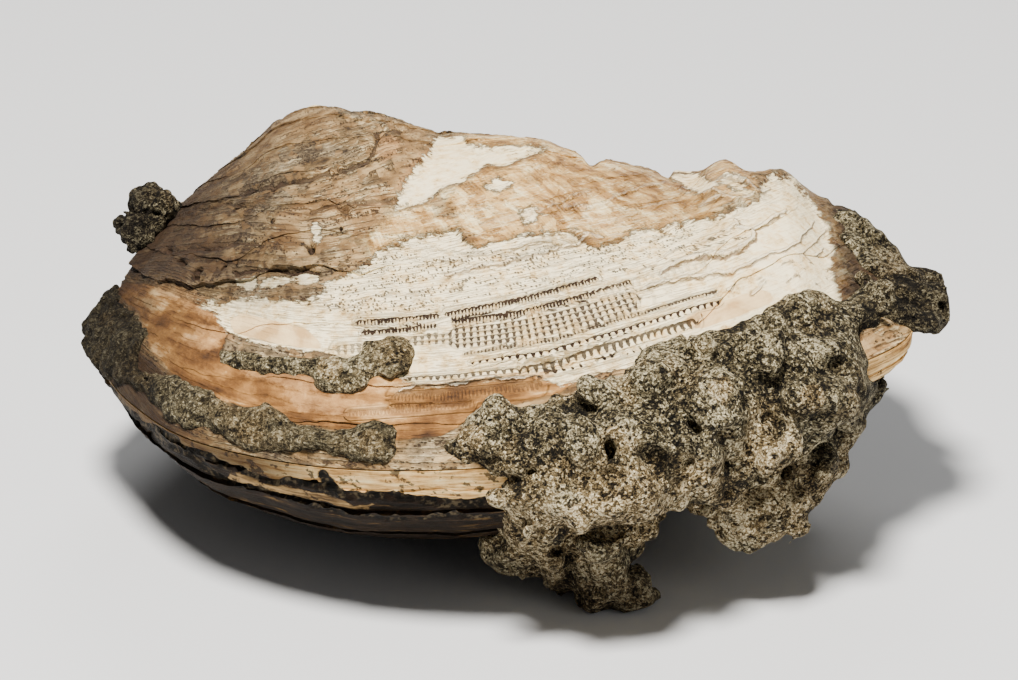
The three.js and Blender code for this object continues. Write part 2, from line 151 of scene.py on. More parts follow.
def marginPoint(station):
    # The open margin: a closed Catmull-Rom curve through its points, one for each station.
    index = np.floor(station).astype(int)
    t = (station - index)[..., None]
    p0, p1, p2, p3 = (margin[(index + k) % len(margin)] for k in (-1, 0, 1, 2))
    into, out = 0.5 * (p2 - p0), 0.5 * (p3 - p1)
    return p1 + t * (into + t * (3 * (p2 - p1) - 2 * into - out + t * (2 * (p1 - p2) + into + out)))


def sweptPoint(valve, station, swing):
    # The margin turns about the hinge line and shrinks by exp(-decay angle^power) to the beak.
    station, swing = np.broadcast_arrays(station, swing)
    along = np.array([math.cos(form["hingeTurn"]), math.sin(form["hingeTurn"])])
    away = np.array([-along[1], along[0]])
    beak = np.array(form["beak"])
    reach = marginPoint(station) - beak
    angle = np.radians(swing)
    shrink = np.exp(-valve["decay"] * angle ** valve["power"])
    hinge = shrink * (reach @ along)
    opening = shrink * (reach @ away)
    flat = beak + hinge[..., None] * along + (opening * np.cos(angle))[..., None] * away
    height = -valve["side"] * opening * np.sin(angle)
    return np.concatenate([flat, height[..., None]], -1)


def sweptNormal(valve, station, swing):
    # The cross product of the swept form's two tangents, outwards.
    inner = np.maximum(swing, 0.2)
    along = sweptPoint(valve, station + 0.02, inner) - sweptPoint(valve, station - 0.02, inner)
    across = sweptPoint(valve, station, inner + 0.2) - sweptPoint(valve, station, inner - 0.2)
    normal = np.cross(along, across) * valve["side"]
    return normal / np.linalg.norm(normal, axis=-1, keepdims=True)


def rollOver(vectors):
    # A turn about Y that lifts the back end.
    c, s = math.cos(form["roll"]), math.sin(form["roll"])
    x, y, z = np.moveaxis(vectors, -1, 0)
    return np.stack([c * x - s * z, y, s * x + c * z], -1)


def place(points):
    # From the valve's own frame to the resting object: worn crest, roll, height, flat belly.
    x, y, z = np.moveaxis(points, -1, 0)
    crest = form["crest"]
    reach = np.where(x < crest["x"], crest["frontReach"], crest["backReach"])
    top = np.maximum(crest["height"] * (1 - ((x - crest["x"]) / reach) ** 2), crest["least"])
    wear = ease(form["wearStart"], form["wearFull"], z / top) * readList(form["crestWear"], x)
    worn = rollOver(np.stack([x, y, z + wear], -1))
    worn[..., 2] = np.maximum(worn[..., 2] + form["marginHeight"], 0)
    away = np.linalg.norm(worn - np.array(form["bulge"]["middle"]), axis=-1) / form["bulge"]["size"]
    worn = worn + np.exp(-away ** 2)[..., None] * np.array(form["bulge"]["shift"])
    spots = seen(worn)
    reach, size = form["skylineRagged"]
    ragged, soft = reach * noise(x / size, y / size, z), form["skylineSoft"]
    over = readList(form["skyline"], spots[..., 0]) - spots[..., 1] + ragged
    cut = np.where(over > soft, over, np.clip(over + soft, 0, 2 * soft) ** 2 / (4 * soft))
    worn[..., 2] -= cut * mainView["pictureScale"] / math.cos(mainView["tilt"])
    return worn


def viewAxis():
    # The main view's direction, away from the camera.
    return np.array([0, math.cos(mainView["tilt"]), -math.sin(mainView["tilt"])])


def seen(points):
    # Where points stand in the main view's picture, in picture elements.
    tilt = mainView["tilt"]
    offset = points - np.array(mainView["target"])
    up, into = np.array([0, math.sin(tilt), math.cos(tilt)]), viewAxis()
    near = mainView["distance"] / (mainView["distance"] + offset @ into)
    x = mainView["targetAt"][0] + offset[..., 0] * near / mainView["pictureScale"]
    y = mainView["targetAt"][1] - (offset @ up) * near / mainView["pictureScale"]
    return np.stack([x, y], -1)


def wander(spots, reach, size, gain):
    # Spots shifted to and fro by noise, in picture elements.
    x, y = np.moveaxis(spots / size, -1, 0)
    return spots + reach * np.stack([layeredNoise(x, y, z, 3, gain) for z in (3.0, 8.0)], -1)


def facing(normals):
    # 1 where a surface faces the main view, 0 where it turns away.
    into = viewAxis()
    return ease(-0.05, 0.15, -(normals @ into))


def lineDistance(spots, line):
    # Distance from each spot to a line of points, in picture elements, and the side of it that
    # the spot is on, -1 or 1.
    best = np.full(spots.shape[:-1], 1e9)
    side = np.ones(spots.shape[:-1])
    line = np.array(line, float)
    for start, end in zip(line[:-1], line[1:]):
        step = end - start
        offset = spots - start
        t = np.clip((offset @ step) / (step @ step), 0, 1)
        far = np.linalg.norm(offset - t[..., None] * step, axis=-1)
        turn = np.where(step[0] * offset[..., 1] - step[1] * offset[..., 0] < 0, -1, 1)
        side = np.where(far < best, turn, side)
        best = np.minimum(best, far)
    return best, side


def insideDistance(spots, outline):
    # Distance to a closed outline, above zero inside it, in picture elements.
    outline = np.array(outline, float)
    far = lineDistance(spots, np.vstack([outline, outline[:1]]))[0]
    x, y = spots[..., 0], spots[..., 1]
    inside = np.zeros(x.shape, bool)
    for (x0, y0), (x1, y1) in zip(outline, np.roll(outline, -1, 0)):
        if y0 == y1:
            continue
        crosses = ((y0 > y) != (y1 > y)) & (x < (x1 - x0) * (y - y0) / (y1 - y0) + x0)
        inside ^= crosses
    return np.where(inside, far, -far)


def makePiece(name, node, points, quads, triangles=None, masks=None, growth=None, sharp=40):
    # One mesh in metres with its point masks and, per face corner, its growth map.
    triangles = np.zeros((0, 3), int) if triangles is None else triangles
    mesh = bpy.data.meshes.new(name)
    shift = np.array([*form["originShift"], 0])
    corners = np.concatenate([quads.ravel(), triangles.ravel()]).astype(np.int32)
    starts = np.concatenate([np.arange(len(quads)) * 4,
                             len(quads) * 4 + np.arange(len(triangles)) * 3]).astype(np.int32)
    mesh.vertices.add(len(points))
    mesh.vertices.foreach_set("co", ((points + shift) * millimetre).astype(np.float32).ravel())
    mesh.loops.add(len(corners))
    mesh.loops.foreach_set("vertex_index", corners)
    mesh.polygons.add(len(starts))
    mesh.polygons.foreach_set("loop_start", starts)
    mesh.update(calc_edges=True)
    mesh.polygons.foreach_set("use_smooth", np.ones(len(starts), bool))
    mesh.set_sharp_from_angle(angle=math.radians(sharp))
    for maskName, values in (masks or {}).items():
        layer = mesh.attributes.new(maskName, "FLOAT", "POINT")
        layer.data.foreach_set("value", values.astype(np.float32).ravel())
    if growth is not None:
        layer = mesh.uv_layers.new(name="growth")
        layer.data.foreach_set("uv", growth[corners].astype(np.float32).ravel())
    mesh.validate()
    piece = bpy.data.objects.new(name, mesh)
    bpy.context.scene.collection.objects.link(piece)
    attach(piece, "root")
    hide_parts(node)
    print(name, len(quads) * 2 + len(triangles), "triangles")
    return piece


def gridQuads(rows, columns, closed):
    # Quads of a grid of points counted row by row, its columns closed in a ring or not.
    row = np.arange(rows - 1)[:, None] * columns
    column = np.arange(columns if closed else columns - 1)[None, :]
    right = (column + 1) % columns
    return np.stack([row + column, row + right, row + columns + right, row + columns + column],
                    -1).reshape(-1, 4)


def netSurface(points, field):
    # The surface where a field on a lattice of points is zero, negative inside. Each cell that
    # it crosses has one point, the mean of the crossings on its edges; each crossed lattice
    # edge has a quad between the four cells around it.
    offsets = np.array([(i, j, k) for i in (0, 1) for j in (0, 1) for k in (0, 1)])
    inside = field < 0
    size = np.array(field.shape) - 1
    count = sum(inside[i:i + size[0], j:j + size[1], k:k + size[2]].astype(np.int8)
                for i, j, k in offsets)
    cells = np.argwhere((count > 0) & (count < 8))
    number = np.full(size, -1)
    number[tuple(cells.T)] = np.arange(len(cells))
    total = np.zeros((len(cells), 3))
    hits = np.zeros(len(cells))
    for a in range(8):
        for b in range(a + 1, 8):
            if abs(offsets[a] - offsets[b]).sum() != 1:
                continue
            start, end = tuple((cells + offsets[a]).T), tuple((cells + offsets[b]).T)
            crossed = inside[start] != inside[end]
            t = np.where(crossed, field[start] / (field[start] - field[end] + 1e-12), 0)
            total += np.where(crossed[:, None], blend(points[start], points[end], t[:, None]), 0)
            hits += crossed
    vertices = total / hits[:, None]
    quads = []
    for axis in range(3):
        step = np.eye(3, dtype=int)[axis]
        one, two = (np.eye(3, dtype=int)[(axis + k) % 3] for k in (1, 2))
        low = inside[tuple(slice(0, n - s) for n, s in zip(field.shape, step))]
        high = inside[tuple(slice(s, None) for s in step)]
        edges = np.argwhere(low != high)
        ring = [number[tuple((edges - shift).T)] for shift in (0 * one, one, one + two, two)]
        ring = np.stack(ring, -1)
        turn = low[tuple(edges.T)]
        quads.append(np.where(turn[:, None], ring, ring[:, ::-1]))
    quads = np.vstack(quads)
    across = [points[1, 0, 0] - points[0, 0, 0], points[0, 1, 0] - points[0, 0, 0],
              points[0, 0, 1] - points[0, 0, 0]]
    if np.linalg.det(np.array(across)) < 0:
        quads = quads[:, ::-1]
    return vertices, quads


def largestBody(vertices, quads):
    # Drops loose crumbs: labels spread over the quads until each body has one.
    label = np.arange(len(vertices))
    while True:
        low = label[quads].min(1)
        spread = label.copy()
        np.minimum.at(spread, quads.ravel(), np.repeat(low, 4))
        spread = spread[spread]
        if (spread == label).all():
            break
        label = spread
    names, sizes = np.unique(label, return_counts=True)
    kept = label == names[sizes.argmax()]
    renumber = np.cumsum(kept) - 1
    return vertices[kept], renumber[quads[kept[quads[:, 0]]]]


def setCamera():
    # The main view: level, tilted down, its middle a little off the target.
    tilt = mainView["tilt"]
    width = mainView["picture"][0] * mainView["pictureScale"]
    offset = np.array(mainView["picture"]) / 2 - np.array(mainView["targetAt"])
    offAcross, offDown = offset * mainView["pictureScale"]
    up = np.array([0, math.sin(tilt), math.cos(tilt)])
    back = np.array([0, -math.cos(tilt), math.sin(tilt)])
    target = np.array(mainView["target"]) + np.array([*form["originShift"], 0])
    spot = target + offAcross * np.array([1, 0, 0]) - offDown * up + mainView["distance"] * back
    data = bpy.data.cameras.new("camera")
    data.type = "PERSP"
    data.lens = data.sensor_width * mainView["distance"] / width
    data.clip_start = 0.05
    data.clip_end = 50
    camera = bpy.data.objects.new("camera", data)
    turn = Matrix.Rotation(math.pi / 2 - tilt, 4, "X")
    camera.matrix_world = Matrix.Translation(Vector(spot * millimetre)) @ turn
    bpy.context.scene.collection.objects.link(camera)
    bpy.context.scene.camera = camera


lights = {
    # name: (place in metres, aimed at, size, watts, colour)
    "keyLight": ((-0.1, -0.42, 0.95), (0.0, -0.01, 0.03), 0.22, 32.0, (1.0, 0.955, 0.89)),
    "fillLight": ((0.8, -0.75, 0.45), (0, 0, 0.03), 0.8, 2.0, (1.0, 0.98, 0.95)),
    "backLight": ((0.1, 0.8, 0.7), (0, 0, 0.04), 0.5, 4.5, (1.0, 0.98, 0.95)),
}
skyLight = {"colour": (0.93, 0.92, 0.9, 1), "strength": 0.13}


def setLights():
    for name, (spot, aim, size, watts, colour) in lights.items():
        data = bpy.data.lights.new(name, "AREA")
        data.shape = "DISK"
        data.size = size
        data.energy = watts
        data.color = colour
        light = bpy.data.objects.new(name, data)
        turn = (Vector(aim) - Vector(spot)).to_track_quat("-Z", "Y")
        light.matrix_world = Matrix.Translation(Vector(spot)) @ turn.to_matrix().to_4x4()
        bpy.context.scene.collection.objects.link(light)
    world = bpy.data.worlds.new("studioWorld")
    world.use_nodes = True
    background = world.node_tree.nodes["Background"]
    background.inputs["Color"].default_value = skyLight["colour"]
    background.inputs["Strength"].default_value = skyLight["strength"]
    bpy.context.scene.world = world


floorLook = {"side": 4.0, "colour": (214, 216, 219), "roughness": 0.8}


def layFloor():
    side = floorLook["side"]
    mesh = bpy.data.meshes.new("floor")
    corners = [(-side, -side, 0), (side, -side, 0), (side, side, 0), (-side, side, 0)]
    mesh.from_pydata(corners, [], [(0, 1, 2, 3)])
    floor = bpy.data.objects.new("floor", mesh)
    bpy.context.scene.collection.objects.link(floor)
    return floor


setCamera()
setLights()
floor = layFloor()
print("camera, lights and floor set")


class Value:
    # A socket that does sums: each operator adds one Math node.
    def __init__(self, shader, socket):
        self.shader = shader
        self.socket = socket

    def math(self, operation, *others):
        return self.shader.sum(operation, self, *others)

    def __add__(self, other):
        return self.math("ADD", other)

    def __sub__(self, other):
        return self.math("SUBTRACT", other)

    def __mul__(self, other):
        return self.math("MULTIPLY", other)

    def __rsub__(self, other):
        return self.shader.sum("SUBTRACT", other, self)

    __radd__ = __add__
    __rmul__ = __mul__


class Shader:
    # One material and its nodes.
    def __init__(self, name):
        self.material = bpy.data.materials.new(name)
        self.material.use_nodes = True
        self.tree = self.material.node_tree
        self.surface = self.tree.nodes["Principled BSDF"]

    def node(self, kind, settings=None, sockets=None, output=0):
        # Any node: its settings first, then the values or links of its sockets.
        node = self.tree.nodes.new("ShaderNode" + kind)
        for key, value in (settings or {}).items():
            if key == "stops":
                self.setStops(node.color_ramp, value)
            else:
                setattr(node, key, value)
        for key, value in (sockets or {}).items():
            self.plug(node.inputs[key], value)
        return Value(self, node.outputs[output])

    def setStops(self, ramp, stops):
        while len(ramp.elements) < len(stops):
            ramp.elements.new(1)
        for element, (position, colour) in zip(ramp.elements, stops):
            element.position = position
            element.color = (*colour, 1)

    def plug(self, socket, value):
        if isinstance(value, Value):
            self.tree.links.new(value.socket, socket)
        elif socket.type == "RGBA" and len(value) == 3:
            socket.default_value = (*value, 1)
        else:
            socket.default_value = value

    def sum(self, operation, *values):
        return self.node("Math", {"operation": operation}, dict(enumerate(values)))

    def mask(self, name):
        return self.node("Attribute", {"attribute_name": name}, output="Fac")

    def halfWidths(self, name):
        # How far a place is to one side of a line, in the line's half widths.
        return self.mask(name) * (2 * lineReach) - lineReach

    def between(self, value, low, high, start=0.0, end=1.0):
        # start below low, end above high, eased between.
        return self.node("MapRange", {"interpolation_type": "SMOOTHSTEP"},
                         {"Value": value, "From Min": low, "From Max": high, "To Min": start,
                          "To Max": end})

    def mix(self, factor, a, b):
        # Colours a and b mixed by a factor; 6 and 7 are the node's colour sockets.
        return self.node("Mix", {"data_type": "RGBA", "blend_type": "MIX", "clamp_factor": True},
                         {0: factor, 6: a, 7: b}, output=2)

    def ramp(self, value, *stops):
        # Colours as read on a screen, each at its own place along a value.
        stops = [(place, fromScreen(*colour)) for place, colour in stops]
        return self.node("ValToRGB", {"stops": stops}, {"Fac": value})

    def speckle(self, vector, scale=1.0, detail=2.0, roughness=0.5, distortion=0.0):
        # Cloudy noise around 0.5.
        return self.node("TexNoise", {}, {"Vector": vector, "Scale": scale, "Detail": detail,
                                          "Roughness": roughness, "Distortion": distortion})

    def stretched(self, vector, scales):
        return self.node("Mapping", {}, {"Vector": vector, "Scale": scales})

    def cells(self, vector, scale=1.0):
        # A random number for each cell of a Voronoi pattern.
        colour = self.node("TexVoronoi", {}, {"Vector": vector, "Scale": scale}, output="Color")
        return self.node("SeparateColor", {}, {"Color": colour})

    def cellDistance(self, vector, scale=1.0):
        # How far each place is from the middle of its Voronoi cell.
        return self.node("TexVoronoi", {}, {"Vector": vector, "Scale": scale}, output="Distance")

    def place(self):
        return self.node("TexCoord", output="Object")

    def growthMap(self):
        return self.node("UVMap", {"uv_map": "growth"})

    def bump(self, height, distance, strength=1.0):
        sockets = {"Height": height, "Distance": distance, "Strength": strength}
        return self.node("Bump", {}, sockets)

    def finish(self, colour, roughness, normal=None, **constants):
        self.plug(self.surface.inputs["Base Color"], colour)
        self.plug(self.surface.inputs["Roughness"], roughness)
        if normal is not None:
            self.plug(self.surface.inputs["Normal"], normal)
        for key, value in constants.items():
            self.surface.inputs[key].default_value = value
        return self.material


def fromScreen(red, green, blue):
    # A colour as it is read on a screen, 0 to 255, made linear.
    parts = (c / 255 for c in (red, green, blue))
    return tuple(c / 12.92 if c <= 0.04045 else ((c + 0.055) / 1.055) ** 2.4 for c in parts)


def floorFinish():
    shader = Shader("paleFloor")
    return shader.finish(fromScreen(*floorLook["colour"]), floorLook["roughness"])


floor.data.materials.append(floorFinish())


# What the two valves share: stations of the columns, rows between the growth stops.
marginSamples = 4001  # along the whole margin, to measure it


def stationColumns(crowding, count):
    # Columns of equal weight round the margin, from the hinge side right round to it again.
    stations = np.linspace(crowding[0][0], crowding[0][0] + len(margin), marginSamples)
    weight = readList(crowding, stations)
    way = np.concatenate([[0], np.cumsum((weight[1:] + weight[:-1]) / 2)])
    return np.interp(np.arange(count) / count * way[-1], way, stations)


def marginLength(stations):
    # Length of the open margin from the first station on.
    fine = np.linspace(stations[0], stations[0] + len(margin), marginSamples)
    steps = np.linalg.norm(np.diff(marginPoint(fine), axis=0), axis=1)
    return np.interp(np.append(stations, fine[-1]), fine, np.concatenate([[0], np.cumsum(steps)]))


def stopPlaces(valve, stations):
    # Swing and step of every growth stop at every column, each torn to and fro by noise.
    length = valve["length"][:-1]
    swings, steps = [], []
    for index, stop in enumerate(valve["stops"]):
        tear = layeredNoise(length / 7.0, index * 7.7 + 3.1, valve["side"], 4, 0.55)
        calm = readList(valve["tears"], stations, 1, len(margin))
        swings.append(readList(stop, stations, 1, len(margin)) + calm * tear)
        patchy = 0.75 + 0.6 * layeredNoise(length / 11.0, index * 3.3, 5.0, 2)
        steps.append(readList(stop, stations, 2, len(margin)) * np.clip(patchy, 0.15, 1.3))
    return np.array(swings), np.array(steps)


def valveGrid(valve):
    # Rows run from the margin to the beak, evenly between one stop's lip and the next one's
    # foot. The foot lies further in than the lip by the stop's undercut.
    stations = stationColumns(valve["crowding"], valve["columns"])
    valve["length"] = marginLength(stations)
    swings, steps = stopPlaces(valve, stations)
    swings = np.vstack([np.zeros(len(stations)), swings, np.full(len(stations), form["umboSwing"])])
    portion, most = form["undercut"]
    undercut = np.vstack([0 * stations, np.minimum(portion * steps, most), 0 * stations])
    rowSwing, passed = [], []
    for index, count in enumerate(valve["rows"]):
        low, high = swings[index], swings[index + 1] + undercut[index + 1]
        for share in np.linspace(0, 1, count):
            rowSwing.append(blend(low, high, share))
            passed.append(index)
    rowSwing, passed = np.array(rowSwing), np.array(passed)
    height = np.zeros_like(rowSwing)
    for index in range(len(valve["stops"])):
        gone = np.clip((rowSwing - swings[index + 1]) / form["stepFade"], 0, 1)
        height += (passed > index)[:, None] * steps[index] * (1 - gone)
    return np.broadcast_to(stations, rowSwing.shape), rowSwing, height


def valvePoints(valve, station, swing, height):
    # The swept form raised by its height along its normals, clear of the margin plane.
    normal = sweptNormal(valve, station, swing)
    points = sweptPoint(valve, station, swing) + normal * height[..., None]
    least = form["clearance"] / 2 + form["gape"] * swing
    points[..., 2] = valve["side"] * np.maximum(valve["side"] * points[..., 2], least)
    return place(points), rollOver(normal)


def closeValve(valve, points):
    # The grid with a centre on the margin plane and a tip at the beak, and its faces.
    rows, columns = points.shape[:2]
    centre = place(np.array([[0, 0, valve["side"] * form["clearance"] / 2]]))
    tip = points[-1].mean(0, keepdims=True)
    quads = gridQuads(rows, columns, True)
    column = np.arange(columns)
    right = (column + 1) % columns
    end = (rows - 1) * columns
    first = rows * columns
    triangles = np.vstack([np.stack([0 * column + first, right, column], -1),
                           np.stack([end + column, end + right, 0 * column + first + 1], -1)])
    if valve["side"] < 0:
        quads, triangles = quads[:, ::-1], triangles[:, ::-1]
    return np.vstack([points.reshape(-1, 3), centre, tip]), quads, triangles


def growthCoordinates(valve, layer):
    # Per point: length along the margin and layer, both made small enough for a map.
    length = np.broadcast_to(valve["length"][:-1], layer.shape)
    growth = np.stack([length, layer], -1).reshape(-1, 2) / 100
    return np.vstack([growth, [[0, 0], [0, form["umboSwing"] / 100]]])


def closeMasks(masks):
    # The two points that close a valve have masks as well.
    return {name: np.append(values.ravel(), [0, values[-1].mean()])
            for name, values in masks.items()}


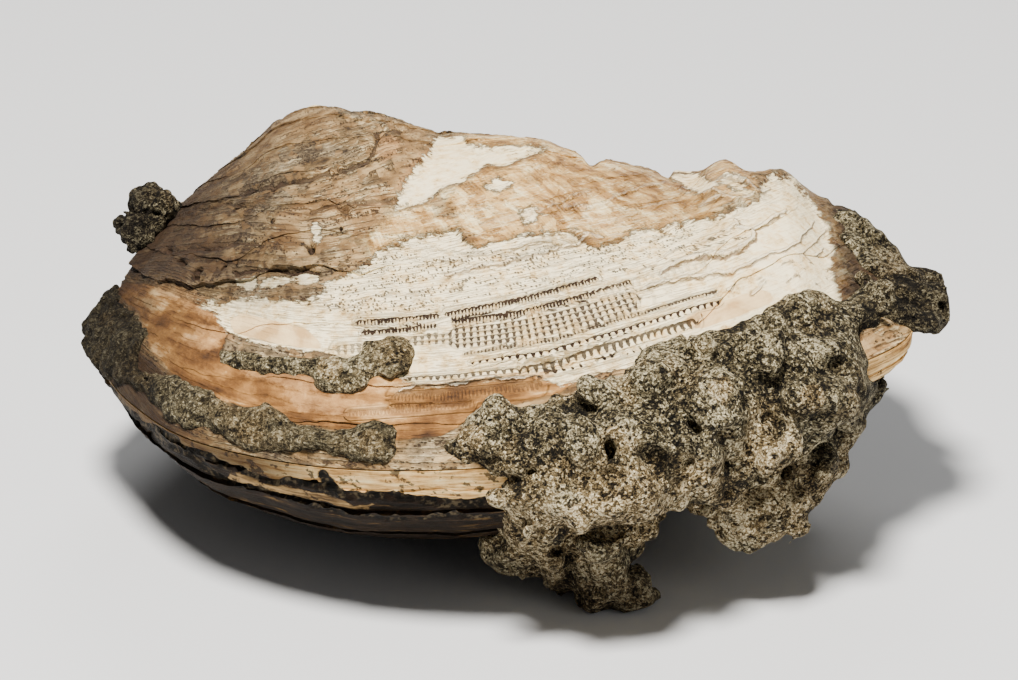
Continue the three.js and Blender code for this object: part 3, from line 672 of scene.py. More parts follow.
upperValve = {
    "side": 1, "decay": 1.62, "power": 1.16, "columns": 720,
    "rows": (7, 9, 19, 17, 9, 13, 13, 11, 8, 7, 7, 7, 9),
    "crowding": ((-4.5, 0.25), (-1.6, 0.5), (-0.8, 1), (4, 1), (4.5, 1.7), (7.2, 1.7), (7.8, 1),
                 (10.8, 1), (11.6, 0.3), (13.5, 0.25)),
    "tears": ((0, 0.4), (3, 0.35), (4.5, 0.2), (7, 0.15), (9, 0.2), (13, 0.5)),
    # Growth stops: rows of station, swing in degrees, step in mm.
    "stops": (
        ((0, 2.6, 0.1), (3, 2.8, 0.15), (4.4, 2.8, 0.4), (8, 2.6, 0.3), (13, 2.6, 0.1)),
        ((0, 5.4, 0.1), (3, 5.3, 0.15), (4.7, 5.2, 0.35), (7.5, 6.3, 0.2), (10, 5.6, 0.2),
         (13, 5.4, 0.1)),
        ((0, 9, 0.2), (3, 9.2, 0.25), (5, 9.6, 0.15), (7, 9.8, 0.15), (9, 8.6, 0.2), (13, 9, 0.3)),
        ((0, 11.5, 0.9), (2, 12.2, 1.3), (3.4, 13.5, 1.6), (4.3, 13.6, 1.1), (5.2, 15.6, 0.3),
         (6.5, 14.6, 0.1), (8.5, 12.8, 0.1), (10, 12, 0.3), (13, 11.5, 0.6)),
        ((0, 15.4, 0.3), (3.2, 15.9, 0.4), (4.4, 17.2, 0.2), (6, 18.3, 0.05), (9, 16.4, 0.1),
         (13, 15.5, 0.3)),
        ((0, 19.5, 0.3), (3.5, 20.3, 0.3), (5, 20.6, 0.15), (6.2, 23.6, 0.05), (9, 20.4, 0.1),
         (13, 19.5, 0.5)),
        ((0, 24.5, 0.3), (4.6, 25, 0.25), (5.5, 28.6, 0.1), (7, 28.2, 0.05), (9, 25, 0.3),
         (13, 24.5, 0.5)),
        ((0, 30, 0.3), (4.6, 31, 0.2), (5.8, 33.6, 0.2), (8, 32, 0.3), (13, 30, 0.5)),
        ((0, 37, 0.5), (6, 39, 0.4), (13, 37, 0.6)),
        ((0, 45, 0.6), (6, 46, 0.5), (13, 45, 0.6)),
        ((0, 56, 0.7), (6, 57, 0.6), (13, 56, 0.5)),
        ((0, 70, 0.5), (6, 71, 0.5), (13, 70, 0.4)),
    ),
    "toothPitch": 7.0,  # in picture elements
    "edgeRagged": (2.0, 14, 0.6),  # how far marks wander, in what waves, how unevenly
    "roughHeight": 0.15,
    "terraceHeight": 0.4,
    "terracePitch": 1.6,  # degrees of age from terrace to terrace
    "patchSize": 19,  # mm across the chalk patches of the hidden side
    # How fine each pattern is, in features to a metre: along and across the growth layers
    # where there are two numbers.
    "patterns": {
        "grain": 620, "crumbs": 190, "drift": 60, "facets": 110, "bend": 150.0, "steps": 170,
        "bands": (11, 110, 1), "layers": (40, 360, 1), "threads": (24, 900, 1), "fan": (120, 14, 1),
        "plates": (34, 95, 1), "lines": (14, 1500, 1), "dots": (165, 430, 1),
        "dotRows": (5, 190, 1),
    },
    "ramps": {  # colours as read on a screen, each at its place along a tone
        "brown": ((0.4, (38, 26, 12)), (0.455, (80, 61, 36)), (0.5, (116, 92, 58)),
                  (0.55, (146, 120, 80)), (0.61, (214, 194, 150))),
        "rosy": ((0.4, (66, 43, 20)), (0.5, (128, 92, 52)), (0.61, (178, 138, 88))),
        "grey": ((0.4, (56, 45, 30)), (0.5, (132, 114, 86)), (0.6, (206, 190, 158))),
        "sleek": ((0.38, (98, 70, 38)), (0.5, (142, 110, 68)), (0.6, (190, 160, 114))),
        "waxy": ((0.38, (118, 80, 36)), (0.46, (174, 130, 70)), (0.53, (214, 174, 110)),
                 (0.61, (250, 232, 178))),
        "rust": ((0.38, (56, 33, 12)), (0.46, (110, 72, 32)), (0.53, (162, 116, 62)),
                 (0.61, (238, 202, 146))),
        "white": ((0.38, (190, 152, 96)), (0.45, (242, 214, 160)), (0.53, (255, 240, 198))),
        "beige": ((0.4, (196, 158, 106)), (0.6, (238, 206, 154))),
        "film": ((0.4, (116, 72, 34)), (0.56, (208, 160, 104))),
    },
    # Besides own colours: painted highlights on lips; painted shade in pits, cracks, rows and
    # shaded parts.
    "colours": {
        "thread": (236, 214, 168), "streak": (255, 240, 200), "line": (196, 164, 118),
        "lit": (226, 206, 162), "shadow": (34, 19, 6), "combShade": (150, 118, 76),
        "edge": (112, 82, 52), "lip": (255, 242, 212), "pit": (48, 32, 18),
    },
    # Marks on the upper valve, as they stand in the main view's picture.
    "regions": {
        "chalk": (  # soft white layers laid bare
            ((196, 302), (250, 300), (318, 297), (336, 280), (352, 274), (370, 261), (388, 246),
             (412, 240), (432, 233), (456, 230), (474, 249), (502, 242), (536, 235), (571, 231),
             (594, 246), (628, 235), (640, 229), (700, 222), (716, 214), (734, 208), (752, 205),
             (763, 197), (760, 184), (772, 175), (790, 176), (812, 200), (828, 225), (834, 250),
             (832, 272), (840, 300), (780, 320), (700, 345), (560, 384), (540, 372), (480, 378),
             (420, 384), (400, 376), (350, 362), (318, 350), (250, 341), (226, 330), (215, 312)),
            ((440, 134), (462, 137), (475, 148), (510, 147), (545, 149), (522, 158), (500, 166),
             (489, 163), (478, 170), (462, 181), (440, 187), (424, 200), (396, 210), (397, 199),
             (409, 176), (428, 153)),
            ((484, 186), (497, 178), (512, 184), (500, 192)),
            ((519, 214), (533, 206), (541, 214), (524, 226)),
            ((236, 279), (253, 278), (256, 287), (238, 288)),
            ((260, 288), (269, 279), (284, 274), (300, 273), (315, 271), (319, 280), (311, 286),
             (290, 282), (272, 287)),
            ((314, 223), (317, 226), (319, 238), (317, 245), (315, 238)),
            ((724, 176), (740, 180), (749, 189), (734, 191), (722, 184)),
            ((671, 176), (690, 168), (704, 176), (716, 190), (700, 196), (684, 190)),
        ),
        "tan": (  # waxy, nearly clear layers
            ((400, 203), (424, 204), (452, 214), (462, 234), (440, 232), (405, 240), (386, 248),
             (372, 256), (366, 240)),
            ((447, 134), (475, 148), (545, 149), (500, 166), (489, 163), (462, 181), (440, 192),
             (452, 214), (462, 232), (474, 252), (500, 247), (571, 236), (594, 250), (640, 234),
             (704, 226), (722, 214), (735, 196), (716, 176), (690, 170), (640, 160), (600, 155),
             (560, 135), (500, 125)),
            ((694, 176), (712, 164), (724, 158), (744, 168), (757, 182), (760, 196), (744, 206),
             (724, 204), (706, 196)),
            ((786, 168), (800, 172), (818, 200), (838, 222), (846, 262), (852, 290), (838, 296),
             (832, 262), (826, 225), (808, 196), (790, 178)),
        ),
        "orange": (  # stained layers near the margin
            ((100, 282), (150, 284), (196, 302), (216, 314), (228, 332), (222, 352), (240, 356),
             (345, 370), (400, 376), (420, 386), (480, 380), (540, 374), (575, 372), (600, 362),
             (560, 392), (480, 412), (440, 436), (392, 440), (380, 424), (350, 430), (292, 422),
             (230, 402), (180, 384), (152, 350), (138, 312)),
        ),
        "sleek": (  # smooth layers without crumbs or lines
            ((742, 236), (766, 200), (790, 182), (812, 202), (828, 226), (836, 262), (836, 298),
             (780, 320), (730, 330), (690, 338), (654, 346), (640, 326), (684, 300), (700, 282),
             (752, 262)),
            ((396, 210), (409, 176), (428, 153), (440, 134), (475, 148), (545, 149), (500, 166),
             (462, 181), (440, 187), (424, 200)),
            ((275, 222), (290, 214), (309, 219), (318, 232), (315, 245), (296, 247), (281, 239)),
            ((236, 172), (262, 140), (290, 116), (312, 106), (334, 110), (330, 122), (300, 136),
             (270, 156), (250, 170)),
            ((372, 112), (400, 120), (436, 134), (440, 142), (420, 156), (404, 172), (396, 160),
             (404, 140), (390, 126)),
        ),
        "pale": (  # thin pinkish white films over the stained layers
            ((157, 283), (196, 291), (224, 306), (228, 322), (205, 318), (180, 304), (160, 296)),
            ((190, 321), (231, 329), (236, 342), (216, 338), (192, 330)),
            ((282, 392), (345, 396), (400, 408), (470, 404), (500, 398), (440, 412), (400, 420),
             (350, 416), (300, 410)),
            ((226, 352), (300, 374), (345, 380), (420, 392), (350, 392), (290, 388), (240, 372)),
            ((396, 188), (404, 172), (420, 154), (438, 140), (447, 133), (442, 150), (428, 162),
             (414, 178), (404, 198)),
            ((376, 136), (390, 134), (402, 142), (398, 158), (384, 164), (376, 154)),
            ((364, 203), (378, 199), (388, 204), (376, 211)),
            ((182, 336), (206, 336), (222, 346), (212, 352), (188, 348)),
        ),
        "beige": (  # smooth layers between the chalk ones
            ((228, 318), (240, 311), (262, 316), (284, 320), (304, 325), (314, 334), (322, 346),
             (300, 345), (284, 342), (249, 336), (232, 331)),
            ((686, 314), (716, 298), (748, 288), (768, 286), (780, 292), (760, 302), (730, 314),
             (700, 326)),
            ((400, 384), (440, 380), (500, 372), (548, 366), (560, 372), (520, 382), (440, 392),
             (404, 394)),
        ),
        "specks": (  # chalk with rows of small dark pits
            ((318, 300), (345, 277), (388, 250), (432, 236), (474, 252), (571, 236), (640, 236),
             (712, 218), (746, 226), (752, 240), (690, 256), (640, 272), (596, 272), (446, 308),
             (400, 318), (356, 320), (330, 312)),
        ),
    },
    # How soft the edges of the regions are, in picture elements.
    "softness": {"chalk": 12, "tan": 22, "orange": 9, "pale": 8, "beige": 7, "sleek": 9,
                 "specks": 14},
    # Where the painted shade of the shaded parts fades in, across and down the main view or, for
    # the strip along the margin, by age.
    "dusk": {
        "left": (390, 165), "leftAbove": (320, 270), "leftEnd": (240, 110), "ragged": 12,
        "right": (775, 850), "rightAbove": (325, 290), "rightRagged": 8,
        "strip": (430, 240), "stripAge": (3.4, 2.0),
        "dipLeft": (585, 650), "dipRight": (745, 690), "dipAbove": (240, 205),
    },
    "bareDepths": (0.55, 0.45),  # how far the first chalk layers lie under the others, in mm
    # Broken edges of layers that lie over the next one, which is below each line: line, half
    # width, rise in mm, darkness of the painted shadow at the foot.
    "brokenEdges": (
        (((664, 271), (686, 260), (697, 256), (708, 254), (729, 255), (743, 247), (756, 241),
          (757, 231), (748, 225), (739, 218)), 3.0, 0.75, 1.0),
        (((752, 229), (762, 225), (770, 219), (786, 209)), 2.2, 0.5, 0.8),
        (((640, 288), (664, 280), (690, 276), (716, 271), (735, 268), (759, 260), (772, 252),
          (786, 249), (802, 239), (815, 220)), 1.8, 0.45, 0.8),
        (((728, 284), (740, 279), (762, 273), (788, 260), (806, 250), (818, 240), (826, 230)), 1.8,
         0.45, 0.7),
        (((748, 290), (762, 287), (796, 273), (815, 260), (823, 247)), 1.8, 0.4, 0.7),
        (((784, 299), (807, 292), (826, 276), (837, 260)), 1.6, 0.4, 0.6),
        (((658, 259), (682, 248), (704, 240), (726, 229), (740, 218)), 1.6, 0.3, 0.5),
        (((700, 205), (722, 200), (738, 204), (757, 196), (770, 186)), 2.0, 0.5, 0.7),
        (((716, 182), (730, 178), (744, 184), (756, 192)), 2.0, 0.5, 0.7),
        (((684, 188), (700, 196), (712, 194), (726, 200)), 1.8, 0.4, 0.6),
        (((447, 271), (470, 268), (490, 264), (520, 256), (560, 245), (600, 236)), 2.4, 0.45, 0.8),
        (((440, 258), (462, 258), (490, 250), (520, 244), (560, 236)), 2.0, 0.3, 0.5),
        (((318, 306), (345, 304), (372, 296), (400, 294), (430, 288)), 1.8, 0.2, 0.35),
        (((560, 210), (600, 206), (640, 192), (664, 184)), 2.2, 0.4, 0.3),
        (((480, 226), (520, 218), (556, 206), (590, 192)), 2.2, 0.4, 0.3),
        (((590, 228), (620, 222), (650, 208), (676, 202)), 2.2, 0.4, 0.3),
        (((402, 389), (430, 387), (471, 382), (510, 378), (533, 374)), 3.2, 0.5, 1.0),
    ),
    # Furrows and cracks: line, half width in picture elements, depth in mm, darkness of their
    # painted shade.
    "furrows": (
        (((400, 131), (382, 131), (376, 134), (375, 143), (372, 152), (366, 160), (353, 167),
          (325, 174), (294, 180), (270, 186), (240, 193)), 2.2, 0.7, 0.8),
        (((312, 213), (325, 206), (349, 201), (376, 199), (400, 195)), 1.8, 0.5, 0.7),
        (((176, 252), (194, 248), (223, 247), (243, 244), (262, 245)), 2.0, 0.5, 0.8),
        (((235, 271), (262, 268), (278, 269), (290, 270), (306, 268), (318, 271)), 2.0, 0.8, 0.9),
        (((524, 365), (558, 359), (606, 344), (655, 330), (694, 318)), 4.5, 0.7, 0.0),
        (((340, 208), (360, 206), (386, 204), (406, 201)), 1.6, 0.4, 0.6),
        (((196, 212), (212, 208), (222, 204), (236, 206), (252, 208)), 1.5, 0.4, 0.6),
        (((438, 246), (470, 252), (520, 246), (575, 238)), 1.3, 0.3, 0.3),
        (((440, 270), (480, 262), (540, 246), (560, 242)), 1.3, 0.3, 0.25),
    ),
    "ridges": (  # raised growth lamellae: line, half width, height
        (((476, 364), (542, 355), (600, 343), (637, 332), (700, 312)), 2.2, 0.55),
        (((390, 404), (440, 401), (480, 397)), 2.4, 0.35),
    ),
    # The darkness of each pit is painted shade.
    "pits": (  # middle, half widths, turn in degrees, depth in mm, darkness
        ((310, 246), (4.5, 5.5), 0, 1.6, 0.7), ((237, 209), (6, 2.2), -8, 1.0, 0.9),
        ((273, 221), (2.6, 2.6), 0, 0.8, 0.9), ((283, 252), (3, 1.6), 0, 0.7, 0.9),
        ((345, 210), (6, 4), 0, 0.7, 0.5), ((341, 226), (3, 3), 0, 0.7, 0.7),
        ((274, 188), (3, 4), 30, 0.7, 0.8), ((168, 250), (6, 3), -10, 0.8, 0.8),
        ((181, 262), (7, 3), 20, 1.0, 0.8), ((198, 272), (7, 3), -20, 1.0, 0.8),
        ((222, 268), (5, 2.5), -30, 0.8, 0.8), ((197, 279), (8, 2.2), 0, 1.0, 0.8),
        ((238, 262), (3, 2), 0, 0.6, 0.7), ((451, 158), (4, 2.4), 30, 0.25, 0.3),
        ((472, 158), (4, 2), 60, 0.25, 0.3), ((485, 153), (3, 2), 60, 0.25, 0.3),
        ((606, 200), (3, 2), 0, 0.3, 0.3),
    ),
    # Rows of comb teeth, the crenulated edges of older layers: line, half width in picture
    # elements, depth in mm, darkness of the painted shade in the gaps, teeth in each pitch,
    # lanes side by side.
    "combRows": (
        (((357, 319.5), (400, 317), (436, 313.5)), 2.8, 0.4, 1.0, 2, 1),
        (((363, 330), (400, 327.5), (433, 323.5)), 2.5, 0.4, 1.0, 2, 1),
        (((447, 311.5), (502, 300.5), (542, 291), (596, 275.5)), 2.8, 0.45, 1.0, 2, 1),
        (((455, 319.5), (514, 311), (566, 298.5), (630, 279)), 3.1, 0.45, 1.0, 2, 1),
        (((457, 336), (500, 331), (548, 322), (590, 311.5), (631, 299)), 10.5, 0.1, 0.85, 1, 4),
        (((414, 338.5), (432, 337.5), (451, 336)), 5.0, 0.1, 0.7, 1, 2),
        (((339, 347), (357, 345)), 5.0, 0.2, 0.5, 1, 2),
        (((464, 351), (551, 338), (631, 314), (716, 287)), 1.5, 0.2, 0.85, 2, 1),
        (((473, 361), (553, 348), (631, 325.5), (720, 297)), 2.4, 0.35, 1.0, 1, 1),
        (((524, 366), (558, 360), (606, 345), (655, 331), (694, 319)), 4.6, 0.5, 0.8, 1, 1),
        (((534, 373), (582, 362.5), (631, 349), (670, 336.5)), 2.3, 0.3, 0.95, 1, 1),
        (((408, 377), (440, 376), (490, 371), (528, 367)), 2.6, 0.3, 0.8, 1, 1),
        (((398, 396), (462, 391.5), (536, 384.5)), 5.5, 0.2, 0.4, 2, 1),
        (((350, 413), (420, 408), (470, 404)), 3.0, 0.15, 0.25, 2, 1),
        (((600, 290), (650, 275), (700, 264)), 4.5, 0.1, 0.14, 1, 1),
    ),
    # How the growth layers run in the main view: their age, in degrees of swing, and a line.
    "layerLines": (
        (0, ((85, 300), (115, 345), (150, 388), (200, 415), (300, 442), (400, 452), (500, 448),
             (600, 425), (700, 385), (800, 345), (900, 305), (950, 285))),
        (3.4, ((88, 290), (130, 345), (180, 375), (230, 398), (300, 412), (400, 416), (480, 405),
               (560, 388), (640, 360), (720, 325), (800, 295), (880, 262), (950, 235))),
        (5.2, ((95, 284), (140, 325), (200, 348), (240, 360), (345, 376), (420, 384), (500, 374),
               (560, 366), (620, 352), (700, 322), (800, 285), (860, 255), (950, 215))),
        (7, ((105, 280), (150, 300), (230, 325), (320, 345), (400, 350), (460, 346), (540, 328),
             (620, 308), (700, 287), (770, 262), (830, 235), (950, 190))),
        (9.4, ((115, 277), (160, 285), (200, 300), (300, 318), (357, 319), (400, 317), (448, 310),
               (502, 300), (542, 290), (596, 272), (660, 255), (740, 225), (800, 200), (850, 180),
               (950, 160))),
        (13, ((125, 272), (168, 272), (202, 290), (243, 290), (317, 285), (352, 277), (440, 262),
              (520, 246), (575, 236), (640, 225), (700, 205), (760, 180), (800, 165), (950, 130))),
        (17, ((130, 262), (150, 250), (194, 246), (262, 243), (310, 246), (345, 240), (400, 230),
              (470, 218), (540, 200), (640, 175), (700, 160), (800, 130), (950, 100))),
        (20.5, ((135, 240), (165, 222), (222, 210), (252, 206), (313, 213), (349, 201), (400, 195),
                (440, 183), (500, 165), (560, 148), (640, 135), (800, 100), (950, 80))),
        (24.5, ((150, 225), (180, 210), (240, 193), (294, 180), (353, 167), (376, 152), (440, 138),
                (500, 128), (640, 105), (950, 60))),
        (28.5, ((170, 215), (205, 185), (250, 165), (300, 150), (350, 138), (400, 124), (500, 105),
                (950, 30))),
        (33, ((190, 190), (230, 158), (270, 135), (340, 110), (400, 100), (950, 5))),
        (38, ((200, 170), (265, 120), (305, 98), (400, 80), (950, -20))),
    ),
}


def regionMask(spots, outlines, softness=9.0):
    # 0.5 on an outline, 1 well inside it and 0 well outside, however many outlines there are.
    distance = np.max([insideDistance(spots, outline) for outline in outlines], axis=0)
    return np.clip(0.5 + distance / (2 * softness), 0, 1)


def layerAt(spots):
    # Age of the layer seen at each spot: eased corners along the lines, even steps between.
    lines = upperValve["layerLines"]
    ages = []
    for shift in (-16, -8, 0, 8, 16):
        heights = [np.interp(spots[..., 0] + shift, *np.array(row[1], float).T) for row in lines]
        total = np.full(spots.shape[:-1], float(lines[0][0]))
        for index in range(len(heights) - 1):
            share = (heights[index] - spots[..., 1]) / (heights[index] - heights[index + 1])
            low = -1e9 if index == 0 else 0
            high = 1e9 if index == len(heights) - 2 else 1
            total += (lines[index + 1][0] - lines[index][0]) * np.clip(share, low, high)
        ages.append(total)
    return np.mean(ages, axis=0)


def ledges(value):
    # At each whole value a step up, then a slow fall to the next one.
    part = np.mod(value, 1)
    return ease(0, 0.22, part) * (1 - part)


def toothCount(spots):
    # How many teeth along its row a spot is: counted across the picture, leaning to the right.
    row = 337 - 0.24 * (spots[..., 0] - 453)
    lean = 0.04 + 0.4 * ease(455, 640, spots[..., 0])
    return (spots[..., 0] - lean * (spots[..., 1] - row)) / upperValve["toothPitch"]


def turnedOffset(spots, middle, turn):
    # Where spots lie along and across a turned pair of axes.
    c, s = math.cos(math.radians(turn)), math.sin(math.radians(turn))
    offset = spots - np.array(middle)
    return offset[..., 0] * c + offset[..., 1] * s, offset[..., 1] * c - offset[..., 0] * s


def upperRelief(spots, front):
    # Height in mm of the marks over the growth layers, and how dark the painted shade in the pits
    # is.
    valve = upperValve
    ragged = wander(spots, *valve["edgeRagged"])
    relief, dark, masks = np.zeros(front.shape), np.zeros(front.shape), {}
    for outline, depth in zip(valve["regions"]["chalk"], valve["bareDepths"]):
        relief -= depth * ease(-3.5, 3.5, insideDistance(ragged, outline))
    for line, width, rise, darkness in valve["brokenEdges"]:
        far, side = lineDistance(ragged, line)
        ends = [np.linalg.norm(ragged - np.array(end), axis=-1) for end in (line[0], line[-1])]
        past = np.minimum(*ends) - far
        relief += rise * np.exp(-far / 16) * ease(1.2, -1.2, far * side) * ease(0, 10, past)
    for line, width, depth, darkness in valve["furrows"]:
        relief -= depth * (1 - ease(0.4, 2.2, lineDistance(ragged, line)[0] / width))
    for line, width, rise in valve["ridges"]:
        relief += rise * (1 - ease(0.3, 1.4, lineDistance(spots, line)[0] / width))
    for middle, (across, down), turn, depth, darkness in valve["pits"]:
        x, y = turnedOffset(ragged, middle, turn)
        bottom = 1 - ease(0.3, 1.3, np.hypot(x / across, y / down))
        relief -= depth * bottom
        dark = np.maximum(dark, darkness * bottom)
    masks["dark"] = dark * front
    for name, rows in (("crack", valve["furrows"]), ("edge", valve["brokenEdges"])):
        masks[name], masks[name + "Side"], nearest = lineMasks(ragged, rows, front)
        masks[name + "Dark"] = ofNearest(rows, nearest, 3)
    return relief * front, masks


lineReach = 4.0  # how many half widths out a line is felt


def lineMasks(spots, rows, front):
    # Nearness to the nearest line, 1 on it and 0 at the end of its reach, the side of it that a
    # spot is on, 0.5 on the line, and which line it is.
    away, side = np.full(front.shape, 9.0), np.zeros(front.shape)
    nearest = np.zeros(front.shape, int)
    for index, row in enumerate(rows):
        far, turn = lineDistance(spots, row[0])
        far = far / row[1]
        closer = far < away
        away, side, nearest = (np.where(closer, new, old) for new, old in (
            (far, away), (far * turn, side), (index, nearest)))
    side = np.clip(0.5 + side / (2 * lineReach), 0, 1)
    return np.clip(1 - away / lineReach, 0, 1) * front, side, nearest


def ofNearest(rows, nearest, column):
    # What the list of lines says in a column of the nearest one.
    return np.array([row[column] for row in rows], float)[nearest]


def paintedShadeMask(dusk, spots, layer, rough, chalk):
    # How dark the painted shade is: each shaded part is faded in across and down the main view.
    x, y = spots[..., 0] + dusk["ragged"] * rough, spots[..., 1]
    bare = 1 - ease(0.4, 0.6, chalk)
    left = np.maximum(ease(*dusk["left"], x) * ease(*dusk["leftAbove"], y),
                      ease(*dusk["leftEnd"], x) * (1 - 0.7 * chalk))
    xRight = spots[..., 0] + dusk["rightRagged"] * rough
    right = ease(*dusk["right"], xRight) * bare * ease(*dusk["rightAbove"], y)
    strip = ease(*dusk["stripAge"], layer) * ease(*dusk["strip"], x)
    dip = ease(*dusk["dipLeft"], x) * ease(*dusk["dipRight"], x) * ease(*dusk["dipAbove"], y)
    return left + 0.9 * right + 0.4 * strip + 0.25 * dip * bare


def makeUpperValve():
    # The swept form with growth steps, torn marks, comb rows and the masks of its colours.
    valve = upperValve
    station, swing, height = valveGrid(valve)
    bare, normal = valvePoints(valve, station, swing, height)
    spots, front = seen(bare), facing(normal)
    length = np.broadcast_to(valve["length"][:-1], swing.shape)
    layer = blend(swing, layerAt(spots), front)
    masks = {name: regionMask(spots, outlines, valve["softness"][name]) * front
             for name, outlines in valve["regions"].items()}
    smooth = np.maximum.reduce([share * ease(0.45, 0.6, masks[name])
                                for name, share in (("chalk", 1), ("orange", 1), ("tan", 0.4))])
    rough = layeredNoise(length / 6, layer / 1.3, 0.5, 4, 0.6)
    strength = np.clip(0.5 + 0.9 * layeredNoise(length / 16, layer / 2.5, 7.0, 2), 0, 1.3)
    wave = 0.3 * layeredNoise(length / 22, layer / 5, 3.0, 3, 0.4)
    terraces = strength * ledges(layer / valve["terracePitch"] + wave)
    relief, marks = upperRelief(spots, front)
    rows = valve["combRows"]
    near, side, nearest = lineMasks(spots, rows, front)
    tooth = toothCount(spots)
    comb = ofNearest(rows, nearest, 2) * ease(0.72, 0.8, near)
    relief -= comb * ease(-0.2, 0.6, np.sin(2 * np.pi * tooth))
    uneven = valve["roughHeight"] * rough + valve["terraceHeight"] * terraces
    relief += uneven * ease(0, 2, swing) * (1 - 0.92 * smooth)
    unseen = 1 - front
    patchy = layeredNoise(*np.moveaxis(bare / valve["patchSize"], -1, 0), 4, 0.6)
    masks["chalk"] += unseen * ease(0.3, 0.75, patchy)
    masks["tan"] += unseen * ease(0.0, -0.6, patchy)
    # Painted shade at both ends, along the margin strip and in a dip near the crest.
    dusk = front * paintedShadeMask(valve["dusk"], spots, layer, rough, masks["chalk"])
    masks.update(marks, comb=near, combSide=side, combDark=ofNearest(rows, nearest, 3),
                 dense=ofNearest(rows, nearest, 4) - 1, lanes=ofNearest(rows, nearest, 5),
                 tooth=tooth, dusk=dusk)
    points = valvePoints(valve, station, swing, height + relief)[0]
    points, quads, triangles = closeValve(valve, points)
    return makePiece("upperValve", "upper_valve", points, quads, triangles,
                     closeMasks(masks), growthCoordinates(valve, layer))


def upperValveFinish():
    # Brown and tan layers under torn white chalk, an orange rim, and pits and comb rows dark with
    # painted shade; painted shade on the shaded parts and painted highlights on lips.
    shader = Shader("wornShell")
    spot, growth = shader.place(), shader.growthMap()
    age = shader.node("SeparateXYZ", {}, {"Vector": growth}, output="Y")
    fine, ramps = upperValve["patterns"], upperValve["ramps"]
    colours = {name: fromScreen(*colour) for name, colour in upperValve["colours"].items()}
    grain = shader.speckle(spot, fine["grain"], 4, 0.7)
    crumbs = shader.speckle(spot, fine["crumbs"], 5, 0.68)
    drift = shader.speckle(spot, fine["drift"], 3, 0.55)
    facets = shader.speckle(spot, fine["facets"], 3, 0.5, 1.8)
    bands = shader.speckle(shader.stretched(growth, fine["bands"]), 1.0, 4, 0.6)
    layers = shader.speckle(shader.stretched(growth, fine["layers"]), 1.0, 5, 0.75)
    threads = shader.speckle(shader.stretched(growth, fine["threads"]), 1.0, 3, 0.7)
    fan = shader.speckle(shader.stretched(growth, fine["fan"]), 1.0, 4, 0.6)

    # Small steps of the layers, with a painted shadow at each foot, and how far the colours of
    # each region reach.
    step = shader.sum("FRACT", age * fine["steps"] + bands * 1.3 + (crumbs - 0.5) * 0.6)
    rise = shader.between(step, 0, 0.2) * (1 - step)
    foot = shader.between(step, 0.8, 0.97) * shader.between(crumbs + (drift - 0.5), 0.46, 0.6)
    torn = (grain - 0.5) * 0.4 + (crumbs - 0.5) * 0.7 + (layers - 0.5) * 0.8 + (bands - 0.5) * 0.4
    chalkReach = shader.mask("chalk") + torn
    chalk = shader.between(chalkReach, 0.42, 0.54)
    tan = shader.between(shader.mask("tan") + torn * 0.8, 0.3, 0.66)
    orange = shader.between(shader.mask("orange") + torn * 0.5, 0.42, 0.58)
    pale = shader.between(shader.mask("pale") + torn, 0.4, 0.7)
    beige = shader.between(shader.mask("beige") + torn * 0.4, 0.44, 0.56)

    # Plates with bent edges: cells of the growth map, shifted by noise.
    bend = shader.node("TexNoise", {}, {"Vector": spot, "Scale": fine["bend"], "Detail": 2.0},
                       output="Color")
    bent = shader.node("VectorMath", {"operation": "MULTIPLY_ADD"},
                       {0: bend, 1: (0.9, 0.9, 0), 2: shader.stretched(growth, fine["plates"])})
    plates = shader.cells(bent)

    # Brown layers: streaked, rosy or grey by patches, smooth in bands, with pale threads and a
    # painted highlight on the lip of each small step.
    strips = layers * 0.16 + bands * 0.18 + grain * 0.24 + crumbs * 0.24 + drift * 0.18
    brown = shader.ramp(strips, *ramps["brown"])
    rosy = shader.ramp(strips, *ramps["rosy"])
    brown = shader.mix(shader.between(drift, 0.5, 0.62, 0, 0.7), brown, rosy)
    grey = shader.ramp(strips, *ramps["grey"])
    brown = shader.mix(shader.between(drift, 0.48, 0.38, 0, 0.8), brown, grey)
    sleek = plates * 0.5 + bands * 0.7 + drift * 0.4 + shader.mask("sleek") * 0.5
    sleek = shader.between(sleek, 0.82, 0.95)
    smoothBrown = shader.ramp(bands * 0.5 + facets * 0.5, *ramps["sleek"])
    brown = shader.mix(sleek * 0.75, brown, smoothBrown)
    thread = shader.between(threads + (crumbs - 0.5) * 0.8, 0.58, 0.68, 0, 0.45)
    brown = shader.mix(thread, brown, colours["thread"])
    lit = shader.between(step, 0.0, 0.12) * shader.between(step, 0.45, 0.15)
    lit = lit * shader.between(crumbs, 0.42, 0.6)
    brown = shader.mix(lit * (1 - sleek) * 0.45, brown, colours["lit"])

    # Waxy tan layers, the rust-stained rim, white chalk with fine growth lines.
    waxy = shader.ramp(strips * 0.4 + facets * 0.42 + fan * 0.2 + plates * 0.07 - 0.055,
                       *ramps["waxy"])
    streaks = shader.between(threads + (facets - 0.5) * 0.6, 0.56, 0.66)
    waxy = shader.mix(streaks * 0.6, waxy, colours["streak"])
    rust = shader.ramp(bands * 0.35 + layers * 0.1 + crumbs * 0.2 + drift * 0.35, *ramps["rust"])
    white = shader.ramp(layers * 0.2 + grain * 0.4 + crumbs * 0.4, *ramps["white"])
    smoothBeige = shader.ramp(bands * 0.4 + facets * 0.6, *ramps["beige"])
    lines = shader.speckle(shader.stretched(growth, fine["lines"]))
    lines = shader.between(lines + (grain - 0.5) * 0.25, 0.46, 0.38) * (1 - beige)
    lines = lines * (1 - shader.mask("sleek") * 0.8)
    white = shader.mix(lines * 0.36, white, colours["line"])
    white = shader.mix(beige, white, smoothBeige)

